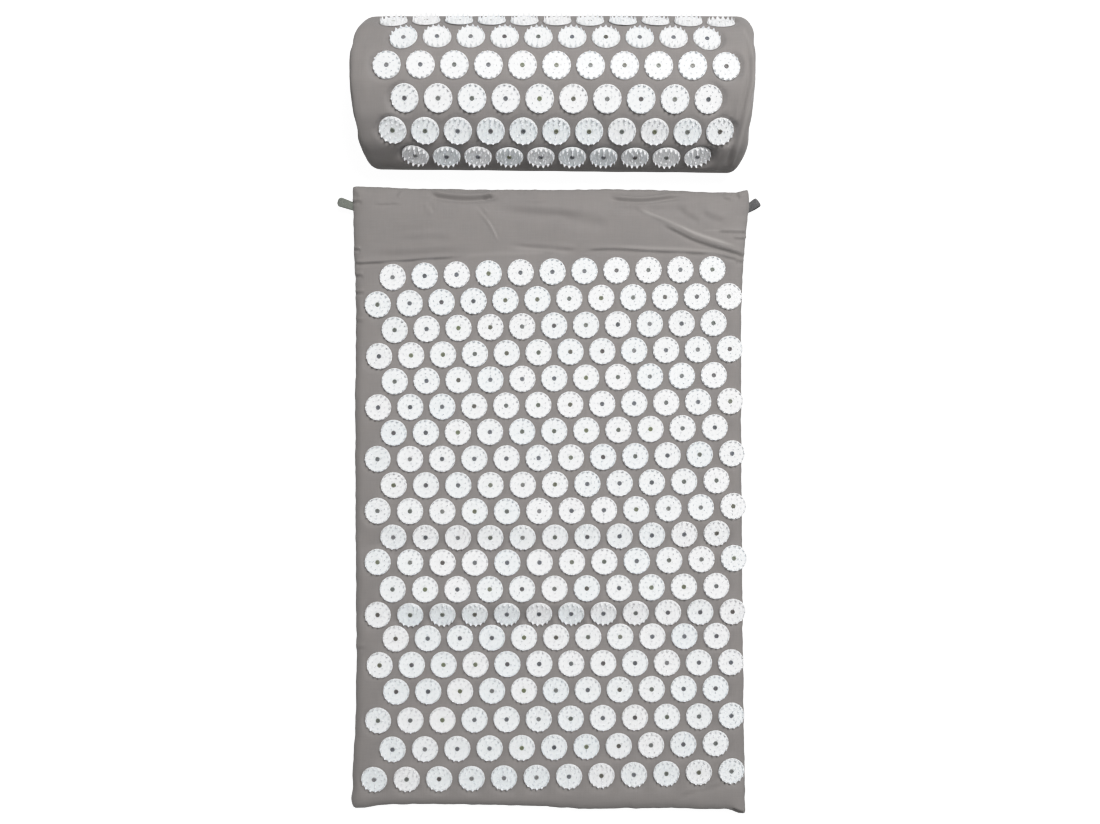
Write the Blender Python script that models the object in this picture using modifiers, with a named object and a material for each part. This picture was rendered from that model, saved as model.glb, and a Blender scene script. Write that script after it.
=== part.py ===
# Acupressure mat with its half-round neck pillow, as sewn, foamed and riveted pieces.
# Units are metres and +Z is up. +Y runs from the mat's foot to its head and on to the pillow.
# The origin is the middle of the mat's underside.

import math

import bmesh
import bpy
from mathutils import Matrix, Vector

# Shared by every piece
seat_gap = 0.0003               # air between two pieces that touch
cut_overrun = 0.002             # how far a cutter runs past a face
weld_distance = 0.00001         # points closer than this are one point

# Cover fabric and the tapes of its openings
fabric_thickness = 0.0008
tape_thickness = 0.0012
tape_width = 0.020
tape_margin = 0.0015            # from a tape's edge to the hem's edge
underlap_run = 0.0015           # length of the step that lifts an underlap over the tapes

# Mat
mat_width = 0.420
mat_length = 0.666
mat_thickness = 0.020
mat_corner_ease = 0.0025        # by how much a corner's radius is over the rolled edge's
mat_seam_flat = 0.0009          # upright stretch between a rolled edge and the side seam
mat_opening_from_head = 0.052
mat_tape_length = 0.340
foam_side_clearance = 0.0015

# Spiked disc and its rivet
disc_diameter = 0.0283
disc_thickness = 0.0013
disc_bore_radius = 0.0022
spike_height = 0.0042
spike_base_radius = 0.00135
spike_root = 0.0004             # how deep a spike's base is moulded into the plate
spike_ring_radii = (0.0127, 0.0083, 0.0046)
spike_ring_counts = (15, 9, 3)
rivet_shank_radius = 0.0018
rivet_head_radius = 0.0027
rivet_head_height = 0.0005
rivet_bore_radius = 0.0010
rivet_bore_depth = 0.0016
rivet_flange_radius = 0.0045
rivet_flange_thickness = 0.0008

# Disc pattern on the mat
disc_pitch = 0.0347
row_pitch = 0.02857
head_margin = 0.0902            # head edge to the first row's centres
foot_margin = 0.0250            # least distance from the last row's centres to the foot edge
field_offset = 0.0044           # the whole field sits this far to the right
plate_sink = 0.0003             # how deep a fused disc is pressed into the fabric

# Ribbon loops in the side seams
ribbon_width = 0.0100
ribbon_thickness = 0.0009
loop_reach = 0.0160
loop_eye_radius = 0.0030
loop_from_head = 0.0190
left_loop_skew_deg = 17
right_loop_skew_deg = 30

# Pillow: the arch has one flat for each row of discs, from the mat's side to the far side
pillow_gap = 0.0161             # mat's head edge to the pillow
pillow_offset = 0.0028          # the pillow lies this far to the right of the mat's middle
pillow_length = 0.413
pillow_flat = 0.0333            # length of each flat across the arch
pillow_flat_tilts_deg = (64, 38, 16, -4, -30, -53)
pillow_first_flat_height = 0.0388
pillow_wall_tilt_deg = 80
pillow_near_radius = 0.024
pillow_far_radius = 0.022
pillow_seam_lip = 0.004         # flat stretch of the arched panel before the base seam
pillow_end_round = 0.018
pillow_end_draw_share = 0.25    # how much of the section is drawn in at the very end
pillow_row_draw_share = 0.12    # how much a row at floor level would be drawn in
pillow_field_offset = 0.0027
pillow_tape_length = 0.280
pillow_opening_from_back = 0.028

# Facets
corner_steps = 4
edge_steps = 3
disc_sides = 24
fused_disc_sides = 10           # every second corner of the rim carries a tooth
spike_sides = 3
rivet_sides = 6
arc_steps = 3
loop_steps = 5
body_end_stations_deg = (0, 22, 45)     # the end panel is sewn on at the last of these
cap_stations_deg = (45, 68, 90)

# Worked out from the sizes above
seam_height = mat_thickness / 2
mat_edge_radius = mat_thickness / 2 - mat_seam_flat
mat_corner_radius = mat_edge_radius + mat_corner_ease
underlap_height = fabric_thickness + 2 * tape_thickness + 3 * seat_gap
underlap_width = tape_width + 2 * tape_margin
seam_groove = seat_gap + fabric_thickness / 2
disc_radius = disc_diameter / 2
mat_opening_y = mat_length / 2 - mat_opening_from_head


def clear_scene():
    for scene_object in list(bpy.data.objects):
        bpy.data.objects.remove(scene_object, do_unlink=True)


def new_collection(name):
    collection = bpy.data.collections.new(name)
    bpy.context.scene.collection.children.link(collection)
    return collection


def make_material(name, colour, roughness, metallic=0.0):
    material = bpy.data.materials.new(name)
    material.use_nodes = True
    shader = material.node_tree.nodes["Principled BSDF"]
    shader.inputs["Base Color"].default_value = (*colour, 1.0)
    shader.inputs["Roughness"].default_value = roughness
    shader.inputs["Metallic"].default_value = metallic
    material.diffuse_color = (*colour, 1.0)
    return material


def mesh_from(bm, name):
    mesh = bpy.data.meshes.new(name)
    bm.to_mesh(mesh)
    bm.free()
    return mesh


def add_object(name, mesh, collection, material, parent=None, location=(0, 0, 0)):
    piece = bpy.data.objects.new(name, mesh)
    collection.objects.link(piece)
    piece.location = location
    piece.parent = parent
    if not mesh.materials:
        mesh.materials.append(material)
    return piece


def add_tool(name, mesh, parent=None):
    tool = bpy.data.objects.new(name, mesh)
    tool_collection.objects.link(tool)
    tool.parent = parent
    tool.hide_render = True
    tool.display_type = "WIRE"
    return tool


def add_boolean(piece, tool, operation):
    modifier = piece.modifiers.new(f"{operation.lower()} {tool.name}", "BOOLEAN")
    modifier.operation = operation
    modifier.solver = "EXACT"
    modifier.object = tool


def add_fabric_thickness(piece):
    modifier = piece.modifiers.new("fabric", "SOLIDIFY")
    modifier.thickness = fabric_thickness
    modifier.offset = -1
    modifier.use_even_offset = True


def evaluated_mesh(piece, name):
    depsgraph = bpy.context.evaluated_depsgraph_get()
    mesh = bpy.data.meshes.new_from_object(piece.evaluated_get(depsgraph))
    mesh.name = name
    return mesh


def shade_round(mesh, angle_deg=35):
    mesh.shade_smooth()
    mesh.set_sharp_from_angle(angle=math.radians(angle_deg))


def box(width, length, low, high, centre=(0, 0)):
    bm = bmesh.new()
    bmesh.ops.create_cube(bm, size=1)
    bmesh.ops.scale(bm, vec=(width, length, high - low), verts=bm.verts)
    bmesh.ops.translate(bm, vec=(*centre, (low + high) / 2), verts=bm.verts)
    return bm


def is_level(edge):
    return abs(edge.verts[0].co.z - edge.verts[1].co.z) < weld_distance


def rounded_slab(width, length, low, high, corner_radius, edge_radius):
    # A box whose four corners are rounded in plan, and whose upper and lower rims are rolled
    bm = box(width, length, low, high)
    uprights = [edge for edge in bm.edges if not is_level(edge)]
    bmesh.ops.bevel(bm, geom=uprights, offset=corner_radius, segments=corner_steps,
                    profile=0.5, affect="EDGES")
    rims = [edge for edge in bm.edges if is_level(edge)]
    bmesh.ops.bevel(bm, geom=rims, offset=edge_radius, segments=edge_steps,
                    profile=0.5, affect="EDGES")
    return bm


def keep_side(bm, point, normal):
    # Cuts with a plane and keeps what lies on the side that the normal points to
    geometry = bm.verts[:] + bm.edges[:] + bm.faces[:]
    bmesh.ops.bisect_plane(bm, geom=geometry, dist=weld_distance, plane_co=point,
                           plane_no=normal, clear_inner=True)


def pull_out(bm, edges, move):
    # Extrudes an open edge by one step and returns the new far edges
    grown = bmesh.ops.extrude_edge_only(bm, edges=edges)["geom"]
    points = [item for item in grown if isinstance(item, bmesh.types.BMVert)]
    bmesh.ops.translate(bm, vec=move, verts=points)
    return [item for item in grown if isinstance(item, bmesh.types.BMEdge)
            and all(vert in points for vert in item.verts)]


def face_away(bm, direction):
    # Turns the open surface so that its largest face points along the direction
    bmesh.ops.recalc_face_normals(bm, faces=bm.faces)
    largest = max(bm.faces, key=lambda face: face.calc_area())
    largest.normal_update()
    if largest.normal.dot(Vector(direction)) < 0:
        bmesh.ops.reverse_faces(bm, faces=bm.faces)


# Spiked disc

def cone_at(bm, sides, radius, tip_radius, low, high, frame=Matrix.Identity(4)):
    middle = Matrix.Translation((0, 0, (low + high) / 2))
    bmesh.ops.create_cone(bm, cap_ends=True, segments=sides, radius1=radius,
                          radius2=tip_radius, depth=high - low, matrix=frame @ middle)


def spike_places():
    # Polar pattern of the spikes: each ring is evenly filled, turned by half a step
    places = []
    for radius, count in zip(spike_ring_radii, spike_ring_counts):
        for index in range(count):
            angle = 2 * math.pi * (index + 0.5) / count
            places.append((radius, angle))
    return places


def spiked_disc_mesh():
    plate = bmesh.new()
    cone_at(plate, disc_sides, disc_radius, disc_radius, 0, disc_thickness)
    spikes = bmesh.new()
    for radius, angle in spike_places():
        turn = Matrix.Rotation(angle, 4, "Z")
        reach = Matrix.Translation((radius, 0, 0))
        cone_at(spikes, spike_sides, spike_base_radius, 0, disc_thickness - spike_root,
                disc_thickness + spike_height, turn @ reach)
    bore = bmesh.new()
    cone_at(bore, rivet_sides, disc_bore_radius, disc_bore_radius,
            -cut_overrun, disc_thickness + cut_overrun)

    blank = add_tool("disc_blank", mesh_from(plate, "disc_blank"))
    add_boolean(blank, add_tool("disc_spikes", mesh_from(spikes, "disc_spikes")), "UNION")
    add_boolean(blank, add_tool("disc_bore", mesh_from(bore, "disc_bore")), "DIFFERENCE")
    return evaluated_mesh(blank, "spiked_disc")


def rivet_mesh():
    # Turned outline from the blind bore's floor, over the head and down to the flange.
    # Its zero level is the fabric's upper face.
    head_low = seat_gap + disc_thickness + seat_gap
    head_high = head_low + rivet_head_height
    flange_high = -fabric_thickness - seat_gap
    flange_low = flange_high - rivet_flange_thickness
    outline = (
        (0, head_high - rivet_bore_depth),
        (rivet_bore_radius, head_high - rivet_bore_depth),
        (rivet_bore_radius, head_high),
        (rivet_head_radius, head_high),
        (rivet_head_radius, head_low),
        (rivet_shank_radius, head_low),
        (rivet_shank_radius, flange_high),
        (rivet_flange_radius, flange_high),
        (rivet_flange_radius, flange_low),
        (0, flange_low),
    )
    bm = bmesh.new()
    points = [bm.verts.new((radius, 0, height)) for radius, height in outline]
    for first, second in zip(points, points[1:]):
        bm.edges.new((first, second))
    profile = add_tool("rivet_profile", mesh_from(bm, "rivet_profile"))
    screw = profile.modifiers.new("turn", "SCREW")
    screw.steps = rivet_sides
    screw.render_steps = rivet_sides
    screw.use_merge_vertices = True
    screw.merge_threshold = weld_distance
    return evaluated_mesh(profile, "disc_rivet")


# Disc pattern on the mat

def mat_rows():
    # Rows from the head down, as lists of places; every second row has one disc more
    usable_width = mat_width - disc_diameter - 2 * field_offset
    long_count = int(usable_width / disc_pitch) + 1
    row_count = int((mat_length - head_margin - foot_margin) / row_pitch) + 1
    rows = []
    for row in range(row_count):
        count = long_count - 1 if row % 2 == 0 else long_count
        y = mat_length / 2 - head_margin - row * row_pitch
        first_x = field_offset - disc_pitch * (count - 1) / 2
        rows.append([(first_x + index * disc_pitch, y) for index in range(count)])
    return rows


def toothed_disc_mesh():
    # A plate whose spikes are cut down to a crown of teeth, as high as the spikes, round its rim.
    # Its zero level is the fabric's outer face.
    bm = bmesh.new()
    cone_at(bm, fused_disc_sides, disc_radius, disc_radius, -plate_sink,
            seat_gap + disc_thickness)
    lid = max(bm.faces, key=lambda face: face.calc_center_median().z)
    rim = list(lid.verts)
    bmesh.ops.poke(bm, faces=[lid])
    for corner in rim[::2]:
        corner.co.z += spike_height
    return mesh_from(bm, "toothed_disc")


def fused_discs(name, frames, parent=None):
    # One toothed plate at each frame, for the panel that carries them
    plate = toothed_disc_mesh()
    bm = bmesh.new()
    for frame in frames:
        known = set(bm.verts)
        bm.from_mesh(plate)
        fresh = [vert for vert in bm.verts if vert not in known]
        bmesh.ops.transform(bm, matrix=frame, verts=fresh)
    bpy.data.meshes.remove(plate)
    return add_tool(name, mesh_from(bm, name), parent)


def build_mat_cover(fabric):
    rows = mat_rows()

    top = rounded_slab(mat_width, mat_length, 0, mat_thickness, mat_corner_radius, mat_edge_radius)
    keep_side(top, (0, 0, seam_height + seat_gap / 2), (0, 0, 1))
    top_panel = add_object("mat_top_panel", mesh_from(top, "mat_top_panel"), parts, fabric)
    add_fabric_thickness(top_panel)
    shank_holes = bmesh.new()
    for x, y in rows[0]:
        cone_at(shank_holes, rivet_sides, disc_bore_radius, disc_bore_radius,
                mat_thickness - fabric_thickness - cut_overrun, mat_thickness + cut_overrun,
                Matrix.Translation((x, y, 0)))
    add_boolean(top_panel, add_tool("shank_holes", mesh_from(shank_holes, "shank_holes")),
                "DIFFERENCE")
    frames = [Matrix.Translation((x, y, mat_thickness)) for row in rows[1:] for x, y in row]
    add_boolean(top_panel, fused_discs("mat_fused_discs", frames), "UNION")

    back = rounded_slab(mat_width, mat_length, 0, mat_thickness, mat_corner_radius, mat_edge_radius)
    keep_side(back, (0, 0, seam_height - seat_gap / 2), (0, 0, -1))
    head_back = back.copy()
    keep_side(back, (0, mat_opening_y, 0), (0, -1, 0))
    lip = [edge for edge in back.edges
           if all(abs(vert.co.y - mat_opening_y) < weld_distance and vert.co.z < weld_distance
                  for vert in edge.verts)]
    lip = pull_out(back, lip, (0, underlap_run, underlap_height))
    pull_out(back, lip, (0, underlap_width, 0))
    face_away(back, (0, 0, -1))
    back_panel = add_object("mat_back_panel", mesh_from(back, "mat_back_panel"), parts, fabric)
    add_fabric_thickness(back_panel)

    keep_side(head_back, (0, mat_opening_y + underlap_run + seat_gap, 0), (0, 1, 0))
    head_panel = add_object("mat_back_head_panel", mesh_from(head_back, "mat_back_head_panel"),
                            parts, fabric)
    add_fabric_thickness(head_panel)


def build_mat_foam(foam):
    inset = 2 * (fabric_thickness + foam_side_clearance)
    low = fabric_thickness + seat_gap
    high = mat_thickness - fabric_thickness - rivet_flange_thickness - 2 * seat_gap
    edge_radius = mat_edge_radius - fabric_thickness - foam_side_clearance
    corner_radius = mat_corner_radius - fabric_thickness - foam_side_clearance
    pad = rounded_slab(mat_width - inset, mat_length - inset, low, high,
                       corner_radius, edge_radius)
    foam_pad = add_object("mat_foam_pad", mesh_from(pad, "mat_foam_pad"), parts, foam)

    relief_length = underlap_run + underlap_width + 2 * seat_gap + fabric_thickness
    relief_y = mat_opening_y - fabric_thickness - seat_gap + relief_length / 2
    relief = box(mat_width + cut_overrun, relief_length, -cut_overrun,
                 underlap_height + fabric_thickness + seat_gap, (0, relief_y))
    add_boolean(foam_pad, add_tool("mat_opening_relief", mesh_from(relief, "opening_relief")),
                "DIFFERENCE")


def build_tapes(prefix, length, near_y, hem_tape, facing_tape, parent=None):
    # One tape lies on the outer hem and the other hangs under the underlap, pressed together
    low = fabric_thickness + seat_gap
    middle_y = near_y + tape_margin + tape_width / 2
    for name, material in ((f"{prefix}_hook_tape", hem_tape), (f"{prefix}_loop_tape", facing_tape)):
        tape = box(length, tape_width, low, low + tape_thickness, (0, middle_y))
        add_object(name, mesh_from(tape, name), parts, material, parent)
        low += tape_thickness + seat_gap


def build_disc_row(disc_plastic, rivet_plastic):
    # The row next to the bare head strip is modelled in full, with its rivets
    disc_mesh = spiked_disc_mesh()
    pin_mesh = rivet_mesh()
    shade_round(pin_mesh)
    for index, (x, y) in enumerate(mat_rows()[0], start=1):
        add_object(f"spike_disc_{index:02d}", disc_mesh, parts, disc_plastic,
                   location=(x, y, mat_thickness + seat_gap))
        add_object(f"disc_rivet_{index:02d}", pin_mesh, parts, rivet_plastic,
                   location=(x, y, mat_thickness))


# Ribbon loops

def teardrop(root_radius, eye_radius, eye_distance):
    # Closed outline round two circles, with straight sides between them
    lean = math.asin((eye_radius - root_radius) / eye_distance)
    start = math.pi / 2 + lean
    points = []
    for step in range(2 * loop_steps + 1):
        angle = start - 2 * start * step / (2 * loop_steps)
        points.append((eye_distance + eye_radius * math.cos(angle), eye_radius * math.sin(angle)))
    root_sweep = 2 * math.pi - 2 * start
    for step in range(loop_steps):
        angle = -start - root_sweep * step / (loop_steps - 1)
        points.append((root_radius * math.cos(angle), root_radius * math.sin(angle)))
    return points


def build_loop(name, side, skew_deg, ribbon):
    root_radius = ribbon_thickness + seat_gap / 2
    outer_radius = loop_eye_radius + ribbon_thickness
    eye_distance = loop_reach - root_radius - outer_radius
    outline = bpy.data.curves.new(name, "CURVE")
    outline.dimensions = "2D"
    outline.fill_mode = "BOTH"
    outline.extrude = ribbon_width / 2
    inner_root = ribbon_thickness / 2
    stitch_length = 2 * ribbon_thickness
    rings = (
        teardrop(root_radius, outer_radius, eye_distance),
        [(stitch_length + x, y) for x, y in
         teardrop(inner_root, loop_eye_radius, eye_distance - stitch_length)],
    )
    for ring in rings:
        spline = outline.splines.new("POLY")
        spline.points.add(len(ring) - 1)
        spline.use_cyclic_u = True
        for point, (x, y) in zip(spline.points, ring):
            point.co = (x, y, 0, 1)
    flat = bpy.data.objects.new(name + "_outline", outline)
    tool_collection.objects.link(flat)
    bm = bmesh.new()
    bm.from_mesh(evaluated_mesh(flat, name))
    bpy.data.objects.remove(flat, do_unlink=True)
    bmesh.ops.remove_doubles(bm, verts=bm.verts, dist=weld_distance)
    # The outline stands up across the seam, and the ribbon is skewed towards the head
    bmesh.ops.rotate(bm, cent=(0, 0, 0), matrix=Matrix.Rotation(math.pi / 2, 3, "X"), verts=bm.verts)
    skew = math.tan(math.radians(skew_deg))
    for vert in bm.verts:
        vert.co.y += skew * vert.co.x
        vert.co.x *= side
    bmesh.ops.recalc_face_normals(bm, faces=bm.faces)
    hinge = bpy.data.objects.new(name + "_hinge", None)
    parts.objects.link(hinge)
    hinge.location = (side * (mat_width / 2 + seat_gap + root_radius),
                      mat_length / 2 - loop_from_head, seam_height)
    mesh = mesh_from(bm, name)
    shade_round(mesh)
    add_object(name, mesh, parts, ribbon, hinge)


# Pillow

def arc(centre, radius, start_deg, end_deg, steps):
    points = []
    for step in range(steps + 1):
        angle = math.radians(start_deg + (end_deg - start_deg) * step / steps)
        points.append((centre[0] + radius * math.cos(angle), centre[1] + radius * math.sin(angle)))
    return points


def pillow_flat_starts():
    # Where each flat of the arch begins, and where the last one ends; the near arc's foot is zero
    wall = math.radians(pillow_wall_tilt_deg)
    arc_end = arc((0, pillow_near_radius), pillow_near_radius, 90 + pillow_wall_tilt_deg,
                  90 + pillow_wall_tilt_deg, 1)[0]
    rise = pillow_first_flat_height - arc_end[1]
    y = arc_end[0] + rise / math.tan(wall)
    z = pillow_first_flat_height
    starts = [(y, z)]
    for tilt in pillow_flat_tilts_deg:
        y += pillow_flat * math.cos(math.radians(tilt))
        z += pillow_flat * math.sin(math.radians(tilt))
        starts.append((y, z))
    return starts


def pillow_arch():
    # The panel's section from its foot on the mat's side, over the top, to its far foot
    near = arc((0, pillow_near_radius), pillow_near_radius, 270, 90 + pillow_wall_tilt_deg,
               arc_steps)
    starts = pillow_flat_starts()
    wall = math.radians(pillow_wall_tilt_deg)
    far_angle = 90 - pillow_wall_tilt_deg
    arc_start = arc((0, pillow_far_radius), pillow_far_radius, far_angle, far_angle, 1)[0]
    drop = starts[-1][1] - arc_start[1]
    far_y = starts[-1][0] + drop / math.tan(wall) - arc_start[0]
    far = arc((far_y, pillow_far_radius), pillow_far_radius, far_angle, -90, arc_steps)
    return near + starts + far


def pillow_middle():
    ys = [y for y, z in pillow_arch()]
    return (min(ys) + max(ys)) / 2


def centred(points):
    middle = pillow_middle()
    return [(y - middle, z) for y, z in points]


def pillow_station(angle_deg):
    # Distance from the middle and scale of the section at a station of the rounded end
    angle = math.radians(angle_deg)
    along = pillow_length / 2 - pillow_end_round * (1 - math.sin(angle))
    scale = 1 - pillow_end_draw_share * (1 - math.cos(angle))
    return along, scale


def loft(bm, sections, closed):
    # Skins a list of alike sections, each a list of points
    rows = [[bm.verts.new(point) for point in section] for section in sections]
    for first, second in zip(rows, rows[1:]):
        count = len(first)
        for index in range(count if closed else count - 1):
            following = (index + 1) % count
            bm.faces.new((first[index], first[following], second[following], second[index]))
    return rows


def section_at(points, along, scale):
    return [(along, y * scale, z * scale) for y, z in points]


def pillow_half(points, closed=False):
    # Sections from the pillow's middle to the end seam, for a mirror to complete
    bm = bmesh.new()
    sections = [section_at(points, 0, 1)]
    for angle in body_end_stations_deg:
        sections.append(section_at(points, *pillow_station(angle)))
    loft(bm, sections, closed)
    return bm


def add_mirror(piece):
    modifier = piece.modifiers.new("both ends", "MIRROR")
    modifier.use_axis = (True, False, False)
    modifier.merge_threshold = weld_distance


def pillow_frames():
    # One frame for each disc, on the middle of its row's flat; every second row has one more
    starts = centred(pillow_flat_starts())
    crown = max(z for y, z in starts)
    long_count = int((pillow_length - 2 * pillow_end_round) / disc_pitch) + 1
    frames = []
    for row, tilt in enumerate(pillow_flat_tilts_deg):
        count = long_count - 1 if row % 2 == 0 else long_count
        y = (starts[row][0] + starts[row + 1][0]) / 2
        z = (starts[row][1] + starts[row + 1][1]) / 2
        pitch = disc_pitch * (1 - pillow_row_draw_share * (crown - z) / crown)
        lean = Matrix.Rotation(math.radians(tilt), 4, "X")
        for index in range(count):
            x = pillow_field_offset + pitch * (index - (count - 1) / 2)
            frames.append(Matrix.Translation((x, y, z)) @ lean)
    return frames


def build_pillow_cover(frame, fabric):
    arch = centred(pillow_arch())
    far_foot = arch[-1][0]
    near_foot = arch[0][0]
    opening_y = far_foot - pillow_opening_from_back
    lip_y = near_foot + pillow_seam_lip
    hem = [(lip_y, 0)] + arch + [(opening_y + underlap_run + seat_gap, 0)]

    body = pillow_half(hem)
    face_away(body, (0, 0, 1))
    top_panel = add_object("pillow_top_panel", mesh_from(body, "pillow_top_panel"), parts,
                           fabric, frame)
    add_mirror(top_panel)
    add_fabric_thickness(top_panel)
    add_boolean(top_panel, fused_discs("pillow_fused_discs", pillow_frames(), frame), "UNION")

    base_line = [(lip_y + seat_gap, 0), (opening_y, 0),
                 (opening_y + underlap_run, underlap_height),
                 (opening_y + underlap_run + underlap_width, underlap_height)]
    base = pillow_half(base_line)
    face_away(base, (0, 0, -1))
    base_panel = add_object("pillow_base_panel", mesh_from(base, "pillow_base_panel"), parts,
                            fabric, frame)
    add_mirror(base_panel)
    add_fabric_thickness(base_panel)

    for name, side in (("pillow_end_panel_left", -1), ("pillow_end_panel_right", 1)):
        cap = bmesh.new()
        sections = []
        for angle in cap_stations_deg:
            along, scale = pillow_station(angle)
            shift = seam_groove if angle == cap_stations_deg[0] else 0
            sections.append(section_at(arch, side * (along + shift), scale))
        rows = loft(cap, sections, closed=True)
        cap.faces.new(rows[-1])
        face_away(cap, (side, 0, 0))
        panel = add_object(name, mesh_from(cap, name), parts, fabric, frame)
        add_fabric_thickness(panel)
    return opening_y


def inset_outline(points, distance):
    # Moves each side of a closed, anticlockwise outline inwards and meets it with the next
    count = len(points)
    result = []
    for index in range(count):
        before = Vector(points[index - 1])
        here = Vector(points[index])
        after = Vector(points[(index + 1) % count])
        first = (here - before).normalized()
        second = (after - here).normalized()
        normal = Vector((-first.y, first.x)) + Vector((-second.y, second.x))
        normal.normalize()
        spread = normal.dot(Vector((-first.y, first.x)))
        result.append(here + normal * (distance / spread))
    return [(point.x, point.y) for point in result]


def build_pillow_foam(frame, foam, opening_y):
    # The core follows the cover inside, and gives way above the opening's tapes
    outline = list(reversed(centred(pillow_arch())))
    inset = fabric_thickness + foam_side_clearance
    base_rise = fabric_thickness + seat_gap
    sections = []
    for angle in body_end_stations_deg + cap_stations_deg[1:]:
        along, scale = pillow_station(angle)
        scaled = [(y * scale, z * scale) for y, z in outline]
        inner = inset_outline(scaled, inset)
        end_share = along / (pillow_length / 2)
        x = along - inset * end_share
        sections.append([(x, y, max(z, base_rise)) for y, z in inner])
    mirrored = [[(-x, y, z) for x, y, z in section] for section in reversed(sections)]
    bm = bmesh.new()
    rows = loft(bm, mirrored + sections, closed=True)
    bm.faces.new(rows[0])
    bm.faces.new(rows[-1])
    bmesh.ops.recalc_face_normals(bm, faces=bm.faces)
    core = add_object("pillow_foam_core", mesh_from(bm, "pillow_foam_core"), parts, foam, frame)

    seam_scale = pillow_station(body_end_stations_deg[-1])[1]
    relief_low_y = opening_y * seam_scale - fabric_thickness - seat_gap
    relief_length = pillow_opening_from_back + pillow_far_radius + opening_y * (1 - seam_scale)
    relief = box(pillow_length + cut_overrun, relief_length, -cut_overrun,
                 underlap_height + fabric_thickness + seat_gap,
                 (0, relief_low_y + relief_length / 2))
    add_boolean(core, add_tool("pillow_opening_relief", mesh_from(relief, "relief"), frame),
                "DIFFERENCE")


def build_pillow(fabric, foam, hook_tape, loop_tape):
    arch = pillow_arch()
    half_depth = (max(y for y, z in arch) - min(y for y, z in arch)) / 2
    frame = bpy.data.objects.new("pillow_lift", None)
    parts.objects.link(frame)
    frame.location = (pillow_offset, mat_length / 2 + pillow_gap + half_depth, 0)
    opening_y = build_pillow_cover(frame, fabric)
    build_pillow_foam(frame, foam, opening_y)
    build_tapes("pillow", pillow_tape_length, opening_y + underlap_run, hook_tape, loop_tape, frame)


clear_scene()
parts = new_collection("acupressure_mat")
tool_collection = new_collection("cutters")

cover_fabric = make_material("cover fabric", (0.29, 0.275, 0.255), 0.92)
disc_plastic = make_material("white disc plastic", (0.86, 0.87, 0.89), 0.38)
rivet_plastic = make_material("grey rivet plastic", (0.22, 0.23, 0.24), 0.45)
mat_foam = make_material("mat foam", (0.78, 0.76, 0.68), 0.95)
pillow_foam = make_material("pillow foam", (0.80, 0.77, 0.67), 0.95)
hook_tape = make_material("hook tape", (0.10, 0.10, 0.11), 0.80)
loop_tape = make_material("loop tape", (0.16, 0.16, 0.17), 0.95)
dark_ribbon = make_material("charcoal ribbon", (0.10, 0.10, 0.11), 0.85)
green_ribbon = make_material("grey green ribbon", (0.30, 0.33, 0.27), 0.85)

build_mat_cover(cover_fabric)
build_mat_foam(mat_foam)
build_tapes("mat", mat_tape_length, mat_opening_y + underlap_run, hook_tape, loop_tape)
build_disc_row(disc_plastic, rivet_plastic)
build_loop("left_side_loop", -1, left_loop_skew_deg, green_ribbon)
build_loop("right_side_loop", 1, right_loop_skew_deg, dark_ribbon)
build_pillow(cover_fabric, pillow_foam, hook_tape, loop_tape)
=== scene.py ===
# Acupressure mat with its pillow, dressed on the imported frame. Metres, +Z up, +Y from foot to head.

import math
import random
from contextlib import contextmanager

import bmesh
import bpy
import numpy as np
from mathutils import Matrix, Vector, noise


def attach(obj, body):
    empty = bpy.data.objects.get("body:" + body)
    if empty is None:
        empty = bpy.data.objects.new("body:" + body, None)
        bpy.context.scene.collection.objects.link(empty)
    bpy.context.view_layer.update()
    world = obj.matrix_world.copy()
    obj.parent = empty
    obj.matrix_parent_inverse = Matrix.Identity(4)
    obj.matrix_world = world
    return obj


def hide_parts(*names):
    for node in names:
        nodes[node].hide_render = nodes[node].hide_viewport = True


print("Loading the packed frame")
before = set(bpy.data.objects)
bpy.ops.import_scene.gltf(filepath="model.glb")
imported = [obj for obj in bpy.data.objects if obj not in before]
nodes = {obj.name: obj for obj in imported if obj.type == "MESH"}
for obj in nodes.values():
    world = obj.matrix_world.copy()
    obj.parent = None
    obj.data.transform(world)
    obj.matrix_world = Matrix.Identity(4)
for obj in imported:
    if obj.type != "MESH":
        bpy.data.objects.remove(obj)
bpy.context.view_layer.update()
scene = bpy.context.scene

photoView = {
    "pictureWidth": 1100,
    "pictureHeight": 824,
    "focalPixels": 1158,       # focal length in the photo's pixels
    "sensorWidth": 36,
    "cameraHeight": 1.26,
    "cameraY": 0.0926,
}


def fromPhoto(px, py, height):
    # The place in the room of a photo pixel, on the level plane at that height
    scale = (photoView["cameraHeight"] - height) / photoView["focalPixels"]
    x = (px - photoView["pictureWidth"] / 2) * scale
    y = photoView["cameraY"] - (py - photoView["pictureHeight"] / 2) * scale
    return x, y


def toPhoto(points):
    # Photo pixels of an array of points
    scale = photoView["focalPixels"] / (photoView["cameraHeight"] - points[:, 2])
    px = photoView["pictureWidth"] / 2 + points[:, 0] * scale
    py = photoView["pictureHeight"] / 2 - (points[:, 1] - photoView["cameraY"]) * scale
    return px, py


def curveThrough(stations, values, at):
    # Smooth curve through given values, read at an array of places
    stations = np.asarray(stations, float)
    values = np.asarray(values, float)
    slopes = np.gradient(values, stations)
    at = np.clip(at, stations[0], stations[-1])
    index = np.clip(np.searchsorted(stations, at) - 1, 0, len(stations) - 2)
    width = stations[index + 1] - stations[index]
    t = (at - stations[index]) / width
    low, high = values[index], values[index + 1]
    lowSlope, highSlope = slopes[index] * width, slopes[index + 1] * width
    return ((2 * t**3 - 3 * t**2 + 1) * low + (t**3 - 2 * t**2 + t) * lowSlope
            + (3 * t**2 - 2 * t**3) * high + (t**3 - t**2) * highSlope)


def smoothStep(values, low, high):
    t = np.clip((values - low) / (high - low), 0, 1)
    return t * t * (3 - 2 * t)


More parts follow.
